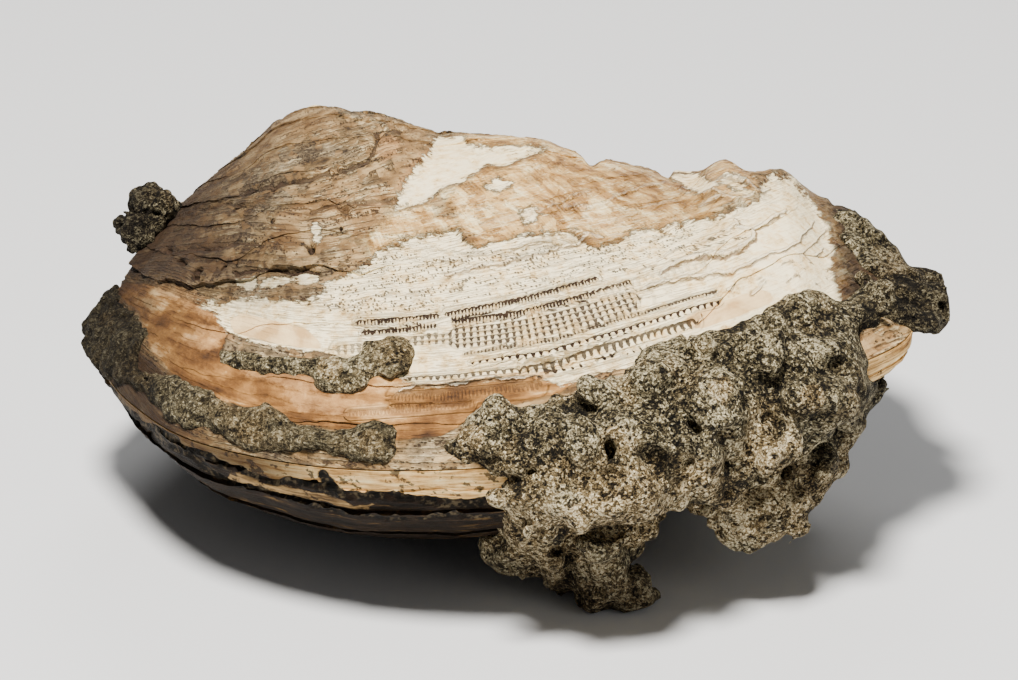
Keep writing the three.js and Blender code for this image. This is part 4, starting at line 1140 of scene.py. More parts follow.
    # The layers one over the other, then the painted shade of the shaded parts.
    colour = shader.mix(tan, brown, waxy)
    colour = shader.mix(orange, colour, rust)
    film = shader.ramp(strips, *ramps["film"])
    colour = shader.mix(pale * 0.55, colour, film)
    colour = shader.mix(chalk, colour, white)
    # Painted shade: the colour darkened towards a shadow brown over the shaded parts.
    shadow = shader.mix(0.93, colour, colours["shadow"])
    colour = shader.mix(shader.mask("dusk"), colour, shadow)

    # Comb rows: teeth that narrow downwards from a groove, in one or more lanes, with painted
    # shade in the gaps and groove and on the floor of the dense rows.
    turn = shader.mask("tooth") * (2 * math.pi)
    side = shader.halfWidths("combSide")
    off = shader.sum("ABSOLUTE", side)
    nearRow = shader.mask("comb")
    inRow = shader.between(off, 1.08, 0.92) * shader.between(nearRow, 0.66, 0.72)
    lane = (shader.sum("FRACT", (side + 1) * 0.5 * shader.mask("lanes")) - 0.5) * 2.4
    dense = shader.mask("dense")
    wave = shader.sum("SINE", turn) * (1 - dense) + shader.sum("SINE", turn * 2) * dense
    noisy = (grain - 0.5) * (3 + dense) + (crumbs - 0.5) * 2
    jagged = wave * (0.7 - dense * 0.2) - lane * (0.5 - dense * 0.1) + noisy
    inLane = shader.between(shader.sum("ABSOLUTE", lane), 1.15, 0.85)
    many = shader.between(shader.mask("lanes"), 1.4, 1.9)
    teeth = shader.between(jagged + dense * 0.3, 0.1, 0.4) * inLane
    groove = shader.between(shader.sum("ABSOLUTE", lane + 0.9), 0.4, 0.15)
    groove = groove * shader.between(crumbs, 0.38, 0.48) * (1 - many * 0.55)
    bars = shader.between(wave + noisy * 0.3, 0.45, 0.8) * many
    teeth = shader.sum("MAXIMUM", shader.sum("MAXIMUM", teeth, groove), bars * 0.5)
    lands = shader.between(off, 0.9, 1.9) * shader.between(nearRow, 0.35, 0.5)
    # Painted shade on the floor of the dense rows, browner there.
    colour = shader.mix(inRow * (dense + many * 0.6) * chalk * 0.4, colour, colours["combShade"])
    # Painted shade in the gaps between the teeth and in the groove.
    gap = teeth * inRow * shader.between(shader.mask("combDark"), 0, 1, 0.2, 1)

    # Rows of small pits, dark with painted shade: the middles of cells, where a row and chance
    # allow one.
    dotPlace = shader.stretched(growth, fine["dots"])
    dotSize, dotChance = shader.cellDistance(dotPlace), shader.cells(dotPlace)
    rows = shader.speckle(shader.stretched(growth, fine["dotRows"]))
    speckled = shader.between(shader.mask("specks") + torn * 0.5, 0.4, 0.7)
    bare = (1 - chalk) * (1 - orange)
    chance = speckled * shader.between(rows, 0.42, 0.55, 0.12, 0.97)
    bareChance = bare * (1 - sleek * 0.7) * shader.between(rows, 0.47, 0.55)
    chance = chance + bareChance * 0.95
    dots = shader.between(dotSize + (grain - 0.5) * 0.5 - bare * 0.1, 0.43, 0.24)
    dots = dots * shader.between(chance - dotChance, 0, 0.1) * (1 - tan * bare * 0.6)

    # Cracks and pits with painted shade; broken edges with a pale lip above, partly painted
    # highlight, and a brown line at the foot, partly painted shadow.
    offset = shader.sum("ABSOLUTE", shader.halfWidths("crackSide") + (grain - 0.5) * 4)
    thin = shader.between(offset, 1.1, 0.5) * shader.between(shader.mask("crack"), 0.62, 0.74)
    pitted = shader.between(shader.mask("dark") + (grain - 0.5) * 0.6, 0.25, 0.6)
    cracks = shader.sum("MAXIMUM", thin * shader.mask("crackDark"), pitted)
    offset = shader.halfWidths("edgeSide") + (grain - 0.5) * 2 + (crumbs - 0.5) * 3
    broken = shader.between(shader.mask("edge"), 0.62, 0.74) * shader.mask("edgeDark")
    lip = shader.between(offset, -1.5, -0.9) * shader.between(offset, -0.1, -0.5) * broken
    edges = shader.between(offset, -0.1, 0.2) * shader.between(offset, 1.1, 0.6) * broken
    lifts = shader.between(offset, 0.3, -0.3) * shader.between(offset, -3.0, 0) * broken
    # Painted shadow: a thin dark line just outside the chalk's torn edge.
    border = shader.between(chalkReach, 0.34, 0.42) * shader.between(chalkReach, 0.5, 0.44)
    edges = shader.sum("MAXIMUM", edges, border * (1 - orange * 0.5) * 0.55)
    # Painted shadow at the foot of each small step, on bare layers and on the speckled chalk.
    foot = foot * (bare * (1 - tan * 0.8) * 0.65 + speckled * 0.3)
    darkness = shader.sum("MAXIMUM", shader.sum("MAXIMUM", gap, dots * 0.8),
                          shader.sum("MAXIMUM", cracks, foot))
    # Painted shadow below broken edges and outside the chalk, partly the brown broken edge itself.
    colour = shader.mix(edges * 0.8, colour, colours["edge"])
    # Painted highlight on the lip above each broken edge, partly its own pale colour.
    colour = shader.mix(lip * 0.5, colour, colours["lip"])
    # Painted shade in comb gaps, pits, cracks and at the feet of steps.
    colour = shader.mix(darkness, colour, colours["pit"])

    # The bump of it all, calmer on chalk and rim; tan layers shine a little.
    soft = 1 - shader.sum("MAXIMUM", chalk * 0.82, orange * 0.6)
    height = (layers * 0.3 + rise * 0.6 * (1 - sleek) + crumbs * 1.3 + plates * tan * 0.7) * soft
    height = height + grain * 0.5 - darkness * 0.8 + lifts * 0.9 + lands * 0.7
    height = height - lines * chalk * 0.35
    normal = shader.bump(height, 0.0007, 1.0)
    gloss = tan * (1 - chalk) * (1 - darkness)
    roughness = 0.8 - gloss * 0.42
    return shader.finish(colour, roughness, normal, **{"Specular IOR Level": 0.3})


upper = makeUpperValve()
upper.data.materials.append(upperValveFinish())

lowerValve = {
    "side": -1, "decay": 1.46, "power": 1.38, "columns": 560,
    "rows": (10, 12, 18, 14, 10, 8, 8, 10),
    "crowding": ((-4.5, 0.4), (-1.6, 0.7), (-0.8, 1), (5.4, 1), (6.2, 0.4), (13.5, 0.4)),
    "tears": ((0, 0.35), (5, 0.3), (9, 0.4), (13, 0.5)),
    "stops": (
        ((0, 2.2, 0.5), (4, 2.0, 0.6), (9, 2.2, 0.4), (13, 2.2, 0.3)),
        ((0, 5.6, 0.7), (4, 4.6, 0.8), (9, 5.2, 0.5), (13, 5.4, 0.4)),
        ((0, 10.5, 0.6), (4, 9.6, 0.5), (9, 10, 0.5), (13, 10.5, 0.4)),
        ((0, 18, 0.6), (5, 17, 0.5), (13, 18, 0.5)),
        ((0, 29, 0.3), (5, 29, 0.3), (13, 29, 0.3)),
        ((0, 42, 0.5), (5, 44, 0.4), (13, 42, 0.4)),
        ((0, 62, 0.5), (5, 64, 0.4), (13, 62, 0.4)),
    ),
    "edgeRagged": (2.5, 12, 0.5),
    "strataHeight": 0.28,
    "behindRim": (2.6, 1.6),  # swing at which the hidden side's tan rim ends
    # Painted shade: the tan rim is darkened on its left, fading out between these places across the
    # picture.
    "brightFrom": (226, 378),  # where the rim turns bright, across the picture
    # How fine each pattern is, in features to a metre.
    "patterns": {"grain": 520, "speck": 1100, "stains": 420, "bands": (7, 120, 1),
                 "layers": (12, 300, 1)},
    "ramps": {
        "flank": ((0.4, (10, 6, 2)), (0.49, (21, 13, 5)), (0.56, (40, 27, 12)),
                  (0.62, (104, 80, 44))),
        "tan": ((0.38, (100, 64, 28)), (0.46, (194, 148, 86)), (0.53, (244, 204, 138)),
                (0.61, (255, 234, 180))),
        "strip": ((0.42, (84, 62, 36)), (0.56, (186, 152, 100))),
        "sand": ((0.38, (6, 5, 3)), (0.5, (26, 21, 14)), (0.62, (88, 76, 56))),
    },
    "colours": {"shade": (44, 26, 8), "stain": (34, 22, 12)},
    # Grit-filled grooves, as they stand in the main view: line, half width, depth in mm.
    "furrows": (
        (((110, 388), (121, 405), (141, 421), (162, 433), (182, 445), (205, 455), (226, 466),
          (253, 476), (294, 483), (316, 485), (345, 492), (366, 495), (398, 498), (440, 503),
          (500, 500)), 4.0, 0.9),
        (((150, 432), (190, 456), (223, 478), (264, 491), (315, 505), (366, 514), (400, 517),
          (500, 514)), 2.6, 0.5),
        (((321, 474), (328, 482), (332, 492)), 5.5, 0.7),
    ),
    "bands": {  # outlines of the tan parts, as they stand in the main view
        "window": ((850, 310), (920, 310), (920, 400), (850, 400)),
        "rim": ((90, 340), (106, 374), (140, 386), (182, 420), (252, 446), (330, 440), (400, 430),
                (510, 440), (515, 495), (440, 500), (345, 490), (300, 481), (250, 474), (210, 458),
                (180, 444), (141, 421), (115, 400)),
        "strip": ((229, 470), (264, 480), (300, 490), (345, 498), (375, 505), (375, 510),
                  (340, 505), (290, 496), (250, 485), (226, 476)),
    },
}


def makeLowerValve():
    # The swept form with strata, grit-filled grooves, masks of its tan bands and of the painted
    # shade on the rim's left part.
    valve = lowerValve
    station, swing, height = valveGrid(valve)
    bare, normal = valvePoints(valve, station, swing, height)
    spots, front = seen(bare), facing(normal)
    length = np.broadcast_to(valve["length"][:-1], swing.shape)
    strata = layeredNoise(length / 8, swing / 1.1, 2.5, 4, 0.6)
    ragged = wander(spots, *valve["edgeRagged"])
    grit = np.zeros(swing.shape)
    relief = valve["strataHeight"] * strata * ease(0, 1.5, swing)
    for line, width, depth in valve["furrows"]:
        away = lineDistance(ragged, line)[0] / width
        relief -= depth * (1 - ease(0.3, 1.1, away)) * front
        grit = np.maximum(grit, np.clip(1 - 0.5 * away, 0, 1) * front)
    edge = swing + 0.6 * layeredNoise(length / 10, swing / 3, 6.0, 3)
    inner = [insideDistance(ragged, valve["bands"][name]) for name in ("rim", "window")]
    band = front * (np.maximum(*inner) / 12 + 0.5)
    frayed = 0.5 + 0.3 * layeredNoise(length / 4, swing, 9.0, 2)
    strip = front * (insideDistance(ragged, valve["bands"]["strip"]) / 6 + frayed)
    behind = (1 - front) * ease(*valve["behindRim"], edge)
    masks = {"grit": grit, "rim": np.clip(band, 0, 1) + behind, "strip": np.clip(strip, 0, 1),
             "bright": front * ease(*valve["brightFrom"], spots[..., 0])}
    points = valvePoints(valve, station, swing, height + relief)[0]
    points, quads, triangles = closeValve(valve, points)
    return makePiece("lowerValve", "lower_valve", points, quads, triangles,
                     closeMasks(masks), growthCoordinates(valve, swing))


def lowerValveFinish():
    # A tan rim with painted shade on its left part, a paler strip and a dark stained flank, with
    # grit in the furrows.
    shader = Shader("stainedShell")
    spot, growth = shader.place(), shader.growthMap()
    fine, ramps = lowerValve["patterns"], lowerValve["ramps"]
    colours = {name: fromScreen(*colour) for name, colour in lowerValve["colours"].items()}
    grain = shader.speckle(spot, fine["grain"], 4, 0.65)
    bands = shader.speckle(shader.stretched(growth, fine["bands"]), 1.0, 3, 0.6)
    layers = shader.speckle(shader.stretched(growth, fine["layers"]), 1.0, 5, 0.7)
    strips = layers * 0.5 + bands * 0.35 + grain * 0.15
    torn = (grain - 0.5) * 0.5 + (layers - 0.5) * 0.6
    flank = shader.ramp(strips, *ramps["flank"])
    tan = shader.ramp(strips, *ramps["tan"])
    # Painted shade: the tan rim darkened towards a shade brown on its left part.
    tan = shader.mix(shader.between(shader.mask("bright"), 0, 1, 0.86, 0), tan, colours["shade"])
    colour = shader.mix(shader.between(shader.mask("rim") + torn * 0.8, 0.4, 0.6), flank, tan)
    strip = shader.between(shader.mask("strip") + torn * 1.4, 0.45, 0.7, 0, 0.85)
    colour = shader.mix(strip, colour, shader.ramp(strips, *ramps["strip"]))
    speck = shader.speckle(spot, fine["speck"])
    sand = shader.ramp(speck * 0.6 + grain * 0.4, *ramps["sand"])
    colour = shader.mix(shader.between(shader.mask("grit") + torn * 0.7, 0.45, 0.62), colour, sand)
    stains = shader.speckle(spot, fine["stains"], 4, 0.65) + (bands - 0.5) * 0.3
    colour = shader.mix(shader.between(stains, 0.57, 0.62) * 0.85, colour, colours["stain"])
    normal = shader.bump(layers + grain * 0.4 + speck * 0.3, 0.0006, 0.9)
    return shader.finish(colour, 0.7, normal, **{"Specular IOR Level": 0.12})


lower = makeLowerValve()
lower.data.materials.append(lowerValveFinish())


# The crusts of matrix. Each is a field on a lattice that follows the shell: station, swing
# (below zero on the lower valve) and height over the shell.
def shellPlace(station, swing):
    # Places and normals on the shell at signed swings, turned smoothly over the margin.
    upperNormal = sweptNormal(upperValve, station, np.maximum(swing, 0))
    lowerNormal = sweptNormal(lowerValve, station, np.maximum(-swing, 0))
    lean = np.clip(swing / 2.0, -1, 1)[..., None]
    normal = upperNormal * (1 + lean) + lowerNormal * (1 - lean)
    normal /= np.linalg.norm(normal, axis=-1, keepdims=True)
    above = sweptPoint(upperValve, station, np.abs(swing))
    below = sweptPoint(lowerValve, station, np.abs(swing))
    return place(np.where((swing < 0)[..., None], below, above)), rollOver(normal)


def listSeats():
    # Points all over the side of the shell that faces the main view, and where they show.
    station, swing = np.meshgrid(np.arange(-1, 13, 0.05), np.arange(-45, 40, 0.5))
    points, normals = shellPlace(station, swing)
    shows = normals @ viewAxis() < 0
    return points[shows], seen(points[shows])


seatPoints, seatSpots = listSeats()


def seat(spot, lift):
    # The place that lies lift mm over the shell where the main view shows the spot.
    nearest = np.argmin(np.linalg.norm(seatSpots - np.array(spot), axis=1))
    eye = np.array(mainView["target"]) - mainView["distance"] * viewAxis()
    towards = seatPoints[nearest] - eye
    offset = (np.array(spot) - seatSpots[nearest]) * mainView["pictureScale"]
    up = np.array([0, math.sin(mainView["tilt"]), math.cos(mainView["tilt"])])
    flat = seatPoints[nearest] + offset[0] * np.array([1, 0, 0]) - offset[1] * up
    return flat - towards / np.linalg.norm(towards) * lift


def knobbly(points, size, seed=0.0):
    # Rounded knobs with creases between them, from 0 in a crease to 1 on a knob.
    x, y, z = np.moveaxis(points / size, -1, 0)
    return np.clip(1.6 * np.abs(noise(x + seed, y, z)), 0, 1)


def smoothUnion(a, b, reach):
    # The lesser of two fields, rounded where they are within reach of each other.
    share = np.clip(0.5 + 0.5 * (b - a) / reach, 0, 1)
    return blend(b, a, share) - reach * share * (1 - share)


stationLength, swingLength = 13.6, 1.6  # mm on the shell for a station and for a degree


def crustLattice(crust):
    # A lattice that follows the shell or, for a crust in a box of its own, a straight one.
    cell = crust["cell"]
    if "box" in crust:
        axes = [np.arange(low, high, cell) for low, high in zip(*crust["box"])]
        points = np.stack(np.meshgrid(*axes, indexing="ij"), -1)
        return 0.0, 0.0, 0.0, points
    (s0, s1), (w0, w1), (d0, d1) = crust["stations"], crust["swings"], crust["depths"]
    station, swing = np.meshgrid(np.arange(s0, s1, cell / stationLength),
                                 np.arange(w0, w1, cell / swingLength), indexing="ij")
    shell, normal = shellPlace(station, swing)
    depth = np.arange(d0, d1, cell)
    points = shell[:, :, None] + depth[:, None] * normal[:, :, None]
    return station[..., None], swing[..., None], depth, points


def crustSheet(crust, station, swing, depth, points):
    # The crust's sheet: full between its low and high edges and inside its outline, thinned
    # towards them, and bare in its windows.
    low, high = readList(crust["low"], station), readList(crust["high"], station)
    across = np.abs(2 * (swing - low) / (high - low) - 1)
    ends = np.minimum(station - crust["from"], crust["to"] - station) / 0.3
    x, y, z = np.moveaxis(points / crust["lumpSize"], -1, 0)
    lumpy = 1 + crust["lumpiness"] * layeredNoise(x, y, z, 2)
    full = (1 - np.minimum(across, 1) ** 4) * np.clip(ends, 0, 1)
    outside = np.maximum(across - 1, 0) * (high - low) * 0.8 + np.maximum(-ends, 0) * 4
    spots = seen(points)
    u, v, w = 3 * x, 3 * y, 3 * z
    ragged = spots + crust["ragged"] * np.stack([noise(u, v, w), noise(u, v, w + 31)], -1)
    inner = insideDistance(ragged, crust["outline"])
    for window in crust["windows"]:
        inner = np.minimum(inner, -insideDistance(ragged, window))
    full = full * (1 - (1 - np.clip(inner / crust["shoulder"], 0, 1)) ** 2)
    outside = outside + np.maximum(-inner, 0) * mainView["pictureScale"] * 2
    return depth - readList(crust["thickness"], station) * full * lumpy + crust["edgeDip"] + outside


def crustField(crust, station, swing, depth, points):
    # Below zero inside the rock: the sheet joined with lumps, less its hollows, roughened,
    # and cut off under the shell and at the ground.
    if "low" in crust:
        field = crustSheet(crust, station, swing, depth, points)
    else:
        field = np.full(points.shape[:-1], 99.0)
    for centre, radius in crust["lumps"]:
        away = np.linalg.norm(points - centre, axis=-1) - radius
        field = smoothUnion(field, away, 0.35 * radius)
    field = addKnolls(crust, field, points)
    near = np.abs(field) < 4
    rough = np.zeros_like(field)
    for size, strength in crust["roughness"]:
        rough[near] += strength * (knobbly(points[near], size, size) - 0.4)
    x, y, z = np.moveaxis(points[near] / crust["poreSize"], -1, 0)
    rough[near] -= crust["poreDepth"] * ease(0.35, 0.6, noise(x, y + 9, z))
    field = field - rough
    field = softenField(carveHollows(crust, field, points))
    if "low" in crust:
        field = np.maximum(field, -depth - crust["root"])
        spots = seen(points)
        above = readList(form["skyline"], spots[..., 0]) - spots[..., 1]
        above += 3 * noise(*np.moveaxis(points / 2.5, -1, 0))
        field = np.maximum(field, above * mainView["pictureScale"])
    return np.maximum(field, -points[..., 2])


def softenField(field):
    # Each value mixed with its neighbours, a quarter from each side, axis by axis.
    for axis in range(3):
        rows = np.moveaxis(field, axis, 0)
        rows[1:-1] = 0.25 * rows[:-2] + 0.5 * rows[1:-1] + 0.25 * rows[2:]
    return field


def addKnolls(crust, field, points):
    # Round knolls half sunk in the surface where the main view shows their middles.
    into = viewAxis()
    spots, reach = seen(points), points @ into
    start = field.copy()
    for middle, radius in crust["knolls"]:
        mouth = (np.linalg.norm(spots - np.array(middle), axis=-1) < 5) & (start < 0)
        if not mouth.any():
            print("no rock at knoll", middle)
            continue
        nearest = np.argmin(np.where(mouth, reach, 1e9))
        centre = points.reshape(-1, 3)[nearest] + into * 0.35 * radius
        u, v, w = np.moveaxis(points / (0.9 * radius), -1, 0)
        away = np.linalg.norm(points - centre, axis=-1) - radius
        close = away < 2
        away[close] += 0.22 * radius * layeredNoise(u[close], v[close], w[close], 3)
        field = smoothUnion(field, away, 0.12 * radius)
    return field


def carveHollows(crust, field, points):
    # Each hollow is an oval tube sunk from the surface straight away from the main view.
    into = viewAxis()
    spots, reach = seen(points), points @ into
    for middle, (across, down), turn, depth in crust["hollows"]:
        x, y = turnedOffset(spots, middle, turn)
        close = (np.hypot(x / across, y / down) < 2.2) & (np.abs(field) < 12)
        mouth = (np.hypot(x, y) < 5) & (field < 0)
        if not mouth.any():
            print("no rock at hollow", middle)
            continue
        surface = reach[mouth].min()
        u, v, w = np.moveaxis(points[close] / 2.6, -1, 0)
        rough = 0.75 * layeredNoise(u, v, w, 3, 0.6)
        wall = np.hypot(x[close] / across, y[close] / down) + rough - 1.05
        wall = wall * min(across, down) * mainView["pictureScale"]
        floorOf = reach[close] - surface - depth
        field[close] = np.maximum(field[close], -np.maximum(wall, floorOf))
    return field


def makeCrust(name, node, crust):
    # The field's zero surface, closed at the ends of its lattice and kept in one body.
    station, swing, depth, points = crustLattice(crust)
    field = crustField(crust, station, swing, depth, points)
    for axis in range(3):
        for end in (0, -1):
            np.moveaxis(field, axis, 0)[end] = 1.0
    vertices, quads = netSurface(points, field)
    vertices, quads = largestBody(vertices, quads)
    return makePiece(name, node, vertices, quads, masks=crustMasks(crust, vertices),
                     sharp=180)


def crustMasks(crust, points):
    # How warm the rock is, how much darker, from darker rock and painted shade at the ends and
    # bottom of the main view, and how deep in a crease, for painted shade there, from 0 to 1.
    spots = seen(points)
    x, y, z = np.moveaxis(points / 9.0, -1, 0)
    drift = layeredNoise(x, y, z, 3)
    warm = ease(420, 500, spots[:, 1])
    # Painted shade towards both ends and the bottom of the main view, and each crust's own darker
    # rock, partly painted shade.
    dim = np.max([0.95 * ease(230, 120, spots[:, 0]), 0.75 * ease(780, 940, spots[:, 0]),
                  0.6 * ease(530, 590, spots[:, 1]), np.full(len(spots), crust["dim"])], axis=0)
    sizes = [row[0] for row in crust["roughness"][:3]]
    # Painted shade in the creases between the knobs.
    crease = np.mean([1 - ease(0.05, 0.5, knobbly(points, size, size)) for size in sizes], axis=0)
    pale = np.zeros(len(spots))
    for middle, radius in crust["paleSpots"]:
        away = np.linalg.norm(spots - np.array(middle), axis=-1) / radius
        pale = np.maximum(pale, 1 - ease(0.5, 1.2, away + 0.4 * drift))
    return {"warm": np.clip(0.3 + 0.4 * warm + 0.4 * drift, 0, 1), "dim": dim,
            "crease": crease, "pale": pale, "calm": np.full(len(spots), crust["calm"])}


def seatedLumps(rows):
    # Lumps listed as across and up in the main view and radius, each a little off the shell.
    scale, middle = mainView["pictureScale"], np.array(mainView["targetAt"])
    return [(seat(middle + np.array([across, -up]) / scale, 0.1 * radius), radius)
            for across, up, radius in rows]


def placedLumps(rows):
    # Lumps listed as their middle's x, y and z and radius.
    return [(np.array(row[:3], float), row[3]) for row in rows]


# For each crust: how much darker it is as a whole, darker rock and partly painted shade, and
# how even its grains are; the reach of its lattice, in stations, degrees and mm, and its cell;
# its edges by station and its thickness; its outline and the windows in it, as they stand in
# the main view; and its lumps, each a middle and a radius.
massCrust = {
    "dim": 0.0, "calm": 0.0,
    "stations": (4.3, 12.35), "swings": (-54, 9.5), "depths": (-1.5, 17), "cell": 0.45,
    "from": 4.5, "to": 12.15,
    "low": ((4.5, -0.4), (4.9, -0.8), (5.25, -4), (5.4, -13), (5.7, -18), (6.3, -16), (7, -13),
            (7.7, -22), (8.4, -26), (9.2, -20), (9.8, -10), (10.6, -7), (11.5, -5), (12.2, -3)),
    "high": ((4.5, 1.2), (5.0, 2.3), (5.3, 3.3), (5.6, 3.6), (6, 4.8), (6.5, 5.2), (7, 5.6),
             (8, 5.5), (8.6, 5.1), (8.9, 4), (9.5, 5), (10, 7), (10.6, 8.5), (11, 8.5), (11.5, 7),
             (12.2, 3)),
    "thickness": ((4.5, 2.4), (5, 3.4), (5.4, 5), (6, 6.0), (7, 6.0), (7.8, 7.0), (8.4, 6.4),
                  (8.9, 4.6), (9.4, 5.0), (9.9, 4.4), (10.3, 2.4), (11, 1.7), (12.2, 1.5)),
    "lumpSize": 7.0, "lumpiness": 0.4, "edgeDip": 0.9, "root": 1.0,
    "lumps": seatedLumps((
        (8.2, -14.6, 4.6), (17, -14, 5.8), (17.4, -23, 6.8), (27.4, -18, 6.0), (27, -7, 5.4),
        (37, -13, 6.4), (37.6, -1.6, 5.2), (47, -5.6, 6.0), (47.8, 3, 4.4), (34.8, -21.6, 5.4),
        (41, -22.6, 6.4), (46.6, -17, 5.8), (52.2, -10.4, 4.8), (2.8, -28.4, 5.8),
        (8.4, -32.6, 5.6), (14.4, -30, 5.8), (14.4, -36, 4.6), (19.4, -38.6, 2.2), (59.8, 9.2, 3.6),
        (64, 11.4, 3.8), (66.4, 8, 3.0),
    )) + placedLumps((
        (50, -8, 25, 8.4), (43, 2, 18, 8.9), (33, 7, 11.5, 8.4), (23, 12, 6, 7.9), (21, 24, 5, 6.9),
    )),
    "outline": ((408, 440), (440, 431), (480, 408), (540, 395), (560, 386), (620, 360), (650, 345),
                (690, 330), (720, 315), (770, 300), (815, 290), (846, 294), (872, 292), (866, 270),
                (852, 246), (838, 232), (827, 206), (822, 190), (1100, 100), (1100, 700),
                (300, 700), (500, 540), (505, 480), (478, 468), (420, 446)),
    "windows": (((864, 334), (888, 322), (904, 330), (935, 348), (935, 382), (912, 386),
                 (884, 392), (866, 372)),
                ((876, 390), (912, 384), (960, 392), (960, 480), (874, 480), (868, 440))),
    "ragged": 4.5, "shoulder": 18.0,
    "knolls": (  # middle in the main view, radius in mm
        ((630, 497), 5.0), ((726, 482), 4.6), ((756, 454), 2.8), ((722, 394), 3.4),
        ((642, 440), 3.2), ((664, 452), 2.8), ((588, 440), 3.0), ((802, 402), 4.0),
        ((838, 400), 3.4), ((822, 462), 3.4), ((786, 506), 4.0), ((744, 516), 3.6),
        ((530, 440), 3.6), ((508, 424), 2.6), ((600, 562), 3.4), ((628, 578), 3.0),
        ((545, 520), 3.0), ((505, 545), 2.6), ((576, 508), 2.6), ((702, 450), 2.6),
        ((762, 356), 3.0), ((700, 348), 2.4), ((652, 386), 3.0), ((600, 402), 2.4),
        ((560, 420), 2.6), ((780, 330), 2.4), ((836, 345), 2.8), ((780, 440), 2.6),
        ((590, 590), 2.6), ((520, 500), 2.4),
    ),
    "hollows": (  # middle, half widths, turn in degrees, depth in mm
        ((609, 449), (8, 17), -22, 7), ((563, 484), (4.5, 15), 8, 4), ((548, 435), (7, 5), 0, 3),
        ((594, 408), (6, 5), 30, 3), ((568, 547), (7, 13), 10, 6), ((554, 551), (5, 6), 0, 4),
        ((687, 462), (9, 15), 25, 6), ((676, 404), (8, 6), 30, 5), ((690, 420), (14, 5), 38, 5),
        ((714, 430), (16, 4), -5, 4), ((684, 384), (5, 6), 0, 4), ((722, 447), (14, 4), 8, 4),
        ((776, 478), (8, 9), 0, 5), ((808, 430), (6, 5), 0, 4), ((849, 381), (4, 12), -35, 3),
        ((822, 450), (5, 9), 20, 4), ((690, 356), (5, 4), 0, 3), ((640, 361), (9, 5), -10, 5),
        ((721, 354), (7, 5), 0, 3), ((614, 531), (24, 6), -8, 5), ((655, 425), (5, 4), 0, 3),
        ((742, 405), (6, 4), 40, 3), ((762, 420), (9, 4), -30, 3), ((531, 470), (5, 4), 0, 2.5),
        ((590, 470), (4, 5), 0, 3), ((800, 372), (6, 4), 0, 3), ((640, 400), (5, 4), 0, 2.5),
    ),
    "roughness": ((9.5, 2.4), (4.8, 2.4), (2.2, 1.7), (1.2, 1.2)),
    "poreSize": 1.7, "poreDepth": 1.2,
    "paleSpots": (((628, 500), 36), ((600, 480), 20), ((757, 452), 15), ((742, 512), 20),
                  ((612, 438), 14), ((700, 476), 16), ((525, 520), 22), ((470, 436), 14),
                  ((720, 388), 12), ((812, 398), 14), ((575, 520), 14)),
}
seamCrust = {
    "dim": 0.4, "calm": 0.34,
    "stations": (-0.8, 4.8), "swings": (-4.5, 12), "depths": (-1.4, 6.5), "cell": 0.36,
    "from": -0.65, "to": 4.75,
    "low": ((-0.6, 0.2), (0, -0.6), (0.6, -1.4), (1.6, -2.4), (2.6, -2.8), (3.6, -2.8),
            (4.6, -2.8)),
    "high": ((-0.6, 8), (0, 10), (0.6, 9.4), (1.2, 8), (2, 7), (3.4, 6), (4.3, 5.6), (4.6, 5.4)),
    "thickness": ((-0.6, 2.2), (0, 2.6), (0.6, 2.4), (1.2, 2.0), (3, 1.9), (4.3, 2.1), (4.6, 1.9)),
    "lumpSize": 4.0, "lumpiness": 0.25, "edgeDip": 0.3, "root": 0.8,
    "outline": ((60, 300), (80, 284), (116, 283), (124, 304), (141, 312), (150, 322), (152, 336),
                (138, 350), (140, 366), (150, 374), (162, 374), (180, 376), (190, 384), (208, 389),
                (228, 403), (247, 406), (270, 403), (283, 411), (294, 423), (312, 427), (326, 429),
                (350, 428), (362, 419), (372, 417), (391, 420), (398, 434), (396, 452), (390, 462),
                (374, 464), (351, 461), (334, 455), (322, 449), (304, 451), (284, 450), (253, 453),
                (235, 445), (219, 436), (202, 426), (182, 426), (168, 420), (156, 407), (137, 391),
                (121, 381), (100, 377), (70, 346)),
    "windows": (), "ragged": 5.0, "shoulder": 9.0,
    "lumps": (), "knolls": (), "hollows": (),
    "roughness": ((5.0, 0.5), (2.4, 0.6), (1.1, 1.0)),
    "poreSize": 1.3, "poreDepth": 0.5,
    "paleSpots": (((250, 430), 14), ((370, 440), 12), ((106, 320), 8)),
}
patchCrust = {
    "dim": 0.04, "calm": 0.28,
    "stations": (2.7, 5.2), "swings": (3, 10.5), "depths": (-1.6, 5), "cell": 0.34,
    "from": 2.8, "to": 5.15,
    "low": ((2, 3.4), (6, 3.4)), "high": ((2, 10), (6, 10)),
    "thickness": ((3, 1.4), (4.0, 1.5), (4.3, 2.0), (4.7, 2.3), (4.95, 1.9)),
    "lumpSize": 3.0, "lumpiness": 0.2, "edgeDip": 0.5, "root": 0.9,
    "outline": ((218, 347), (240, 347), (262, 353), (290, 353), (318, 354), (345, 357), (360, 350),
                (366, 340), (385, 335), (405, 335), (415, 345), (414, 364), (406, 375), (392, 381),
                (380, 377), (369, 379), (363, 391), (345, 396), (323, 395), (310, 388), (312, 379),
                (298, 376), (262, 375), (235, 371), (219, 364)),
    "windows": (), "ragged": 4.0, "shoulder": 6.0,
    "lumps": (), "knolls": (), "hollows": (),
    "roughness": ((2.4, 0.4), (1.0, 0.8)),
    "poreSize": 1.2, "poreDepth": 0.4,
    "paleSpots": (((385, 343), 5), ((392, 353), 5), ((330, 368), 12)),
}
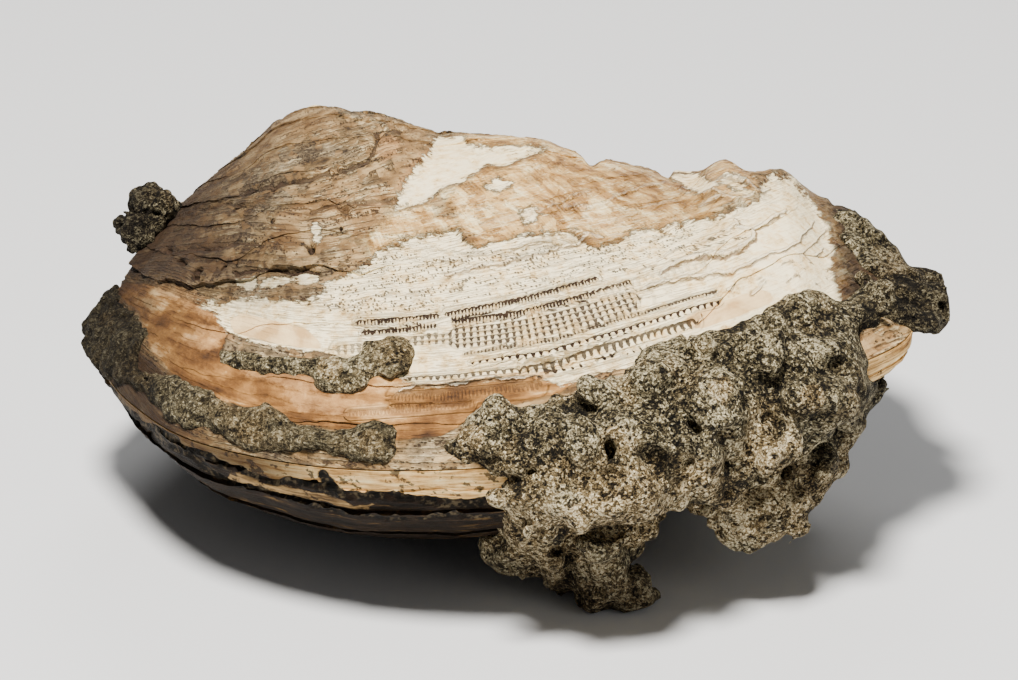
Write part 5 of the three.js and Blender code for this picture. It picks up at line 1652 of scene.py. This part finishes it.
knobCrust = {
    "dim": 0.65, "calm": 0.0,
    "box": ((-68, 15, 34), (-52, 33, 50)), "cell": 0.3,
    "lumps": placedLumps((
        (-58.6, 27, 40.4, 3.6), (-60, 24.6, 43.6, 3.5), (-62, 21.6, 40.4, 3.5),
        (-58, 22.5, 44.8, 2.2),
    )),
    "knolls": (), "hollows": (),
    "roughness": ((3.0, 1.1), (1.4, 0.7), (0.8, 0.3)),
    "poreSize": 1.6, "poreDepth": 0.8,
    "paleSpots": (),
}


matrixLook = {
    "coarseGrains": 2300.0, "fineGrains": 5200.0, "bumpGrains": 2700.0,  # to a metre
    "drift": 130, "clots": 700,
    "evenTone": 0.72,  # the tone that calm crusts keep close to
    "grey": ((0.4, (10, 9, 6)), (0.56, (60, 53, 38)), (0.74, (128, 116, 86)),
             (0.94, (228, 216, 178))),
    "beige": ((0.4, (22, 17, 10)), (0.56, (92, 77, 50)), (0.74, (166, 144, 104)),
              (0.94, (244, 229, 190))),
    # Near black colours of painted shade: in the pores, and at the ends and bottom of the main
    # view.
    "pore": (14, 11, 7), "shade": (16, 12, 8),
}


def matrixFinish():
    # Sand of dark and light grains, cemented: two sizes of grain, dark pores, warm drifts, and
    # painted shade in the pores and creases and at the ends and bottom of the main view.
    shader = Shader("sandyMatrix")
    spot = shader.place()
    look = matrixLook
    coarse = shader.cells(spot, look["coarseGrains"])
    fine = shader.cells(spot, look["fineGrains"])
    drift = shader.speckle(spot, look["drift"], 5, 0.65)
    clots = shader.speckle(spot, look["clots"], 4, 0.65)
    pale, calm, even = shader.mask("pale"), 1 - shader.mask("calm"), look["evenTone"]
    tone = coarse * 0.4 + fine * 0.34 + drift * 0.44 + clots * 0.34 - 0.04 + pale * 0.05
    # Painted shade: the tone darkened in the creases.
    tone = tone - shader.mask("crease") * 0.3
    tone = (tone - even) * calm + even
    warm = shader.between(shader.mask("warm") + pale + (drift - 0.5) * 0.8, 0.3, 0.8)
    colour = shader.mix(warm, shader.ramp(tone, *look["grey"]), shader.ramp(tone, *look["beige"]))
    # Painted shade in the pores: near black specks where the clots are lowest.
    pores = shader.between(clots, 0.43, 0.37)
    colour = shader.mix(pores * calm * 0.75, colour, fromScreen(*look["pore"]))
    # Painted shade and darker rock: the colour darkened towards a near black where the mask says.
    shade = shader.mix(0.92, colour, fromScreen(*look["shade"]))
    colour = shader.mix(shader.mask("dim"), colour, shade)
    grains = shader.cellDistance(spot, look["bumpGrains"])
    crumbs = shader.speckle(spot, look["clots"], 6, 0.75)
    normal = shader.bump(grains * -0.7 + crumbs * 1.6 - pores * 0.5, 0.001, 1.0)
    return shader.finish(colour, 0.92, normal, **{"Specular IOR Level": 0.15})


matrix = matrixFinish()
crusts = (("matrixMass", "matrix_mass", massCrust), ("matrixSeam", "matrix_seam", seamCrust),
          ("matrixPatch", "matrix_patch", patchCrust), ("matrixKnob", "matrix_knob", knobCrust))
for name, node, crust in crusts:
    makeCrust(name, node, crust).data.materials.append(matrix)
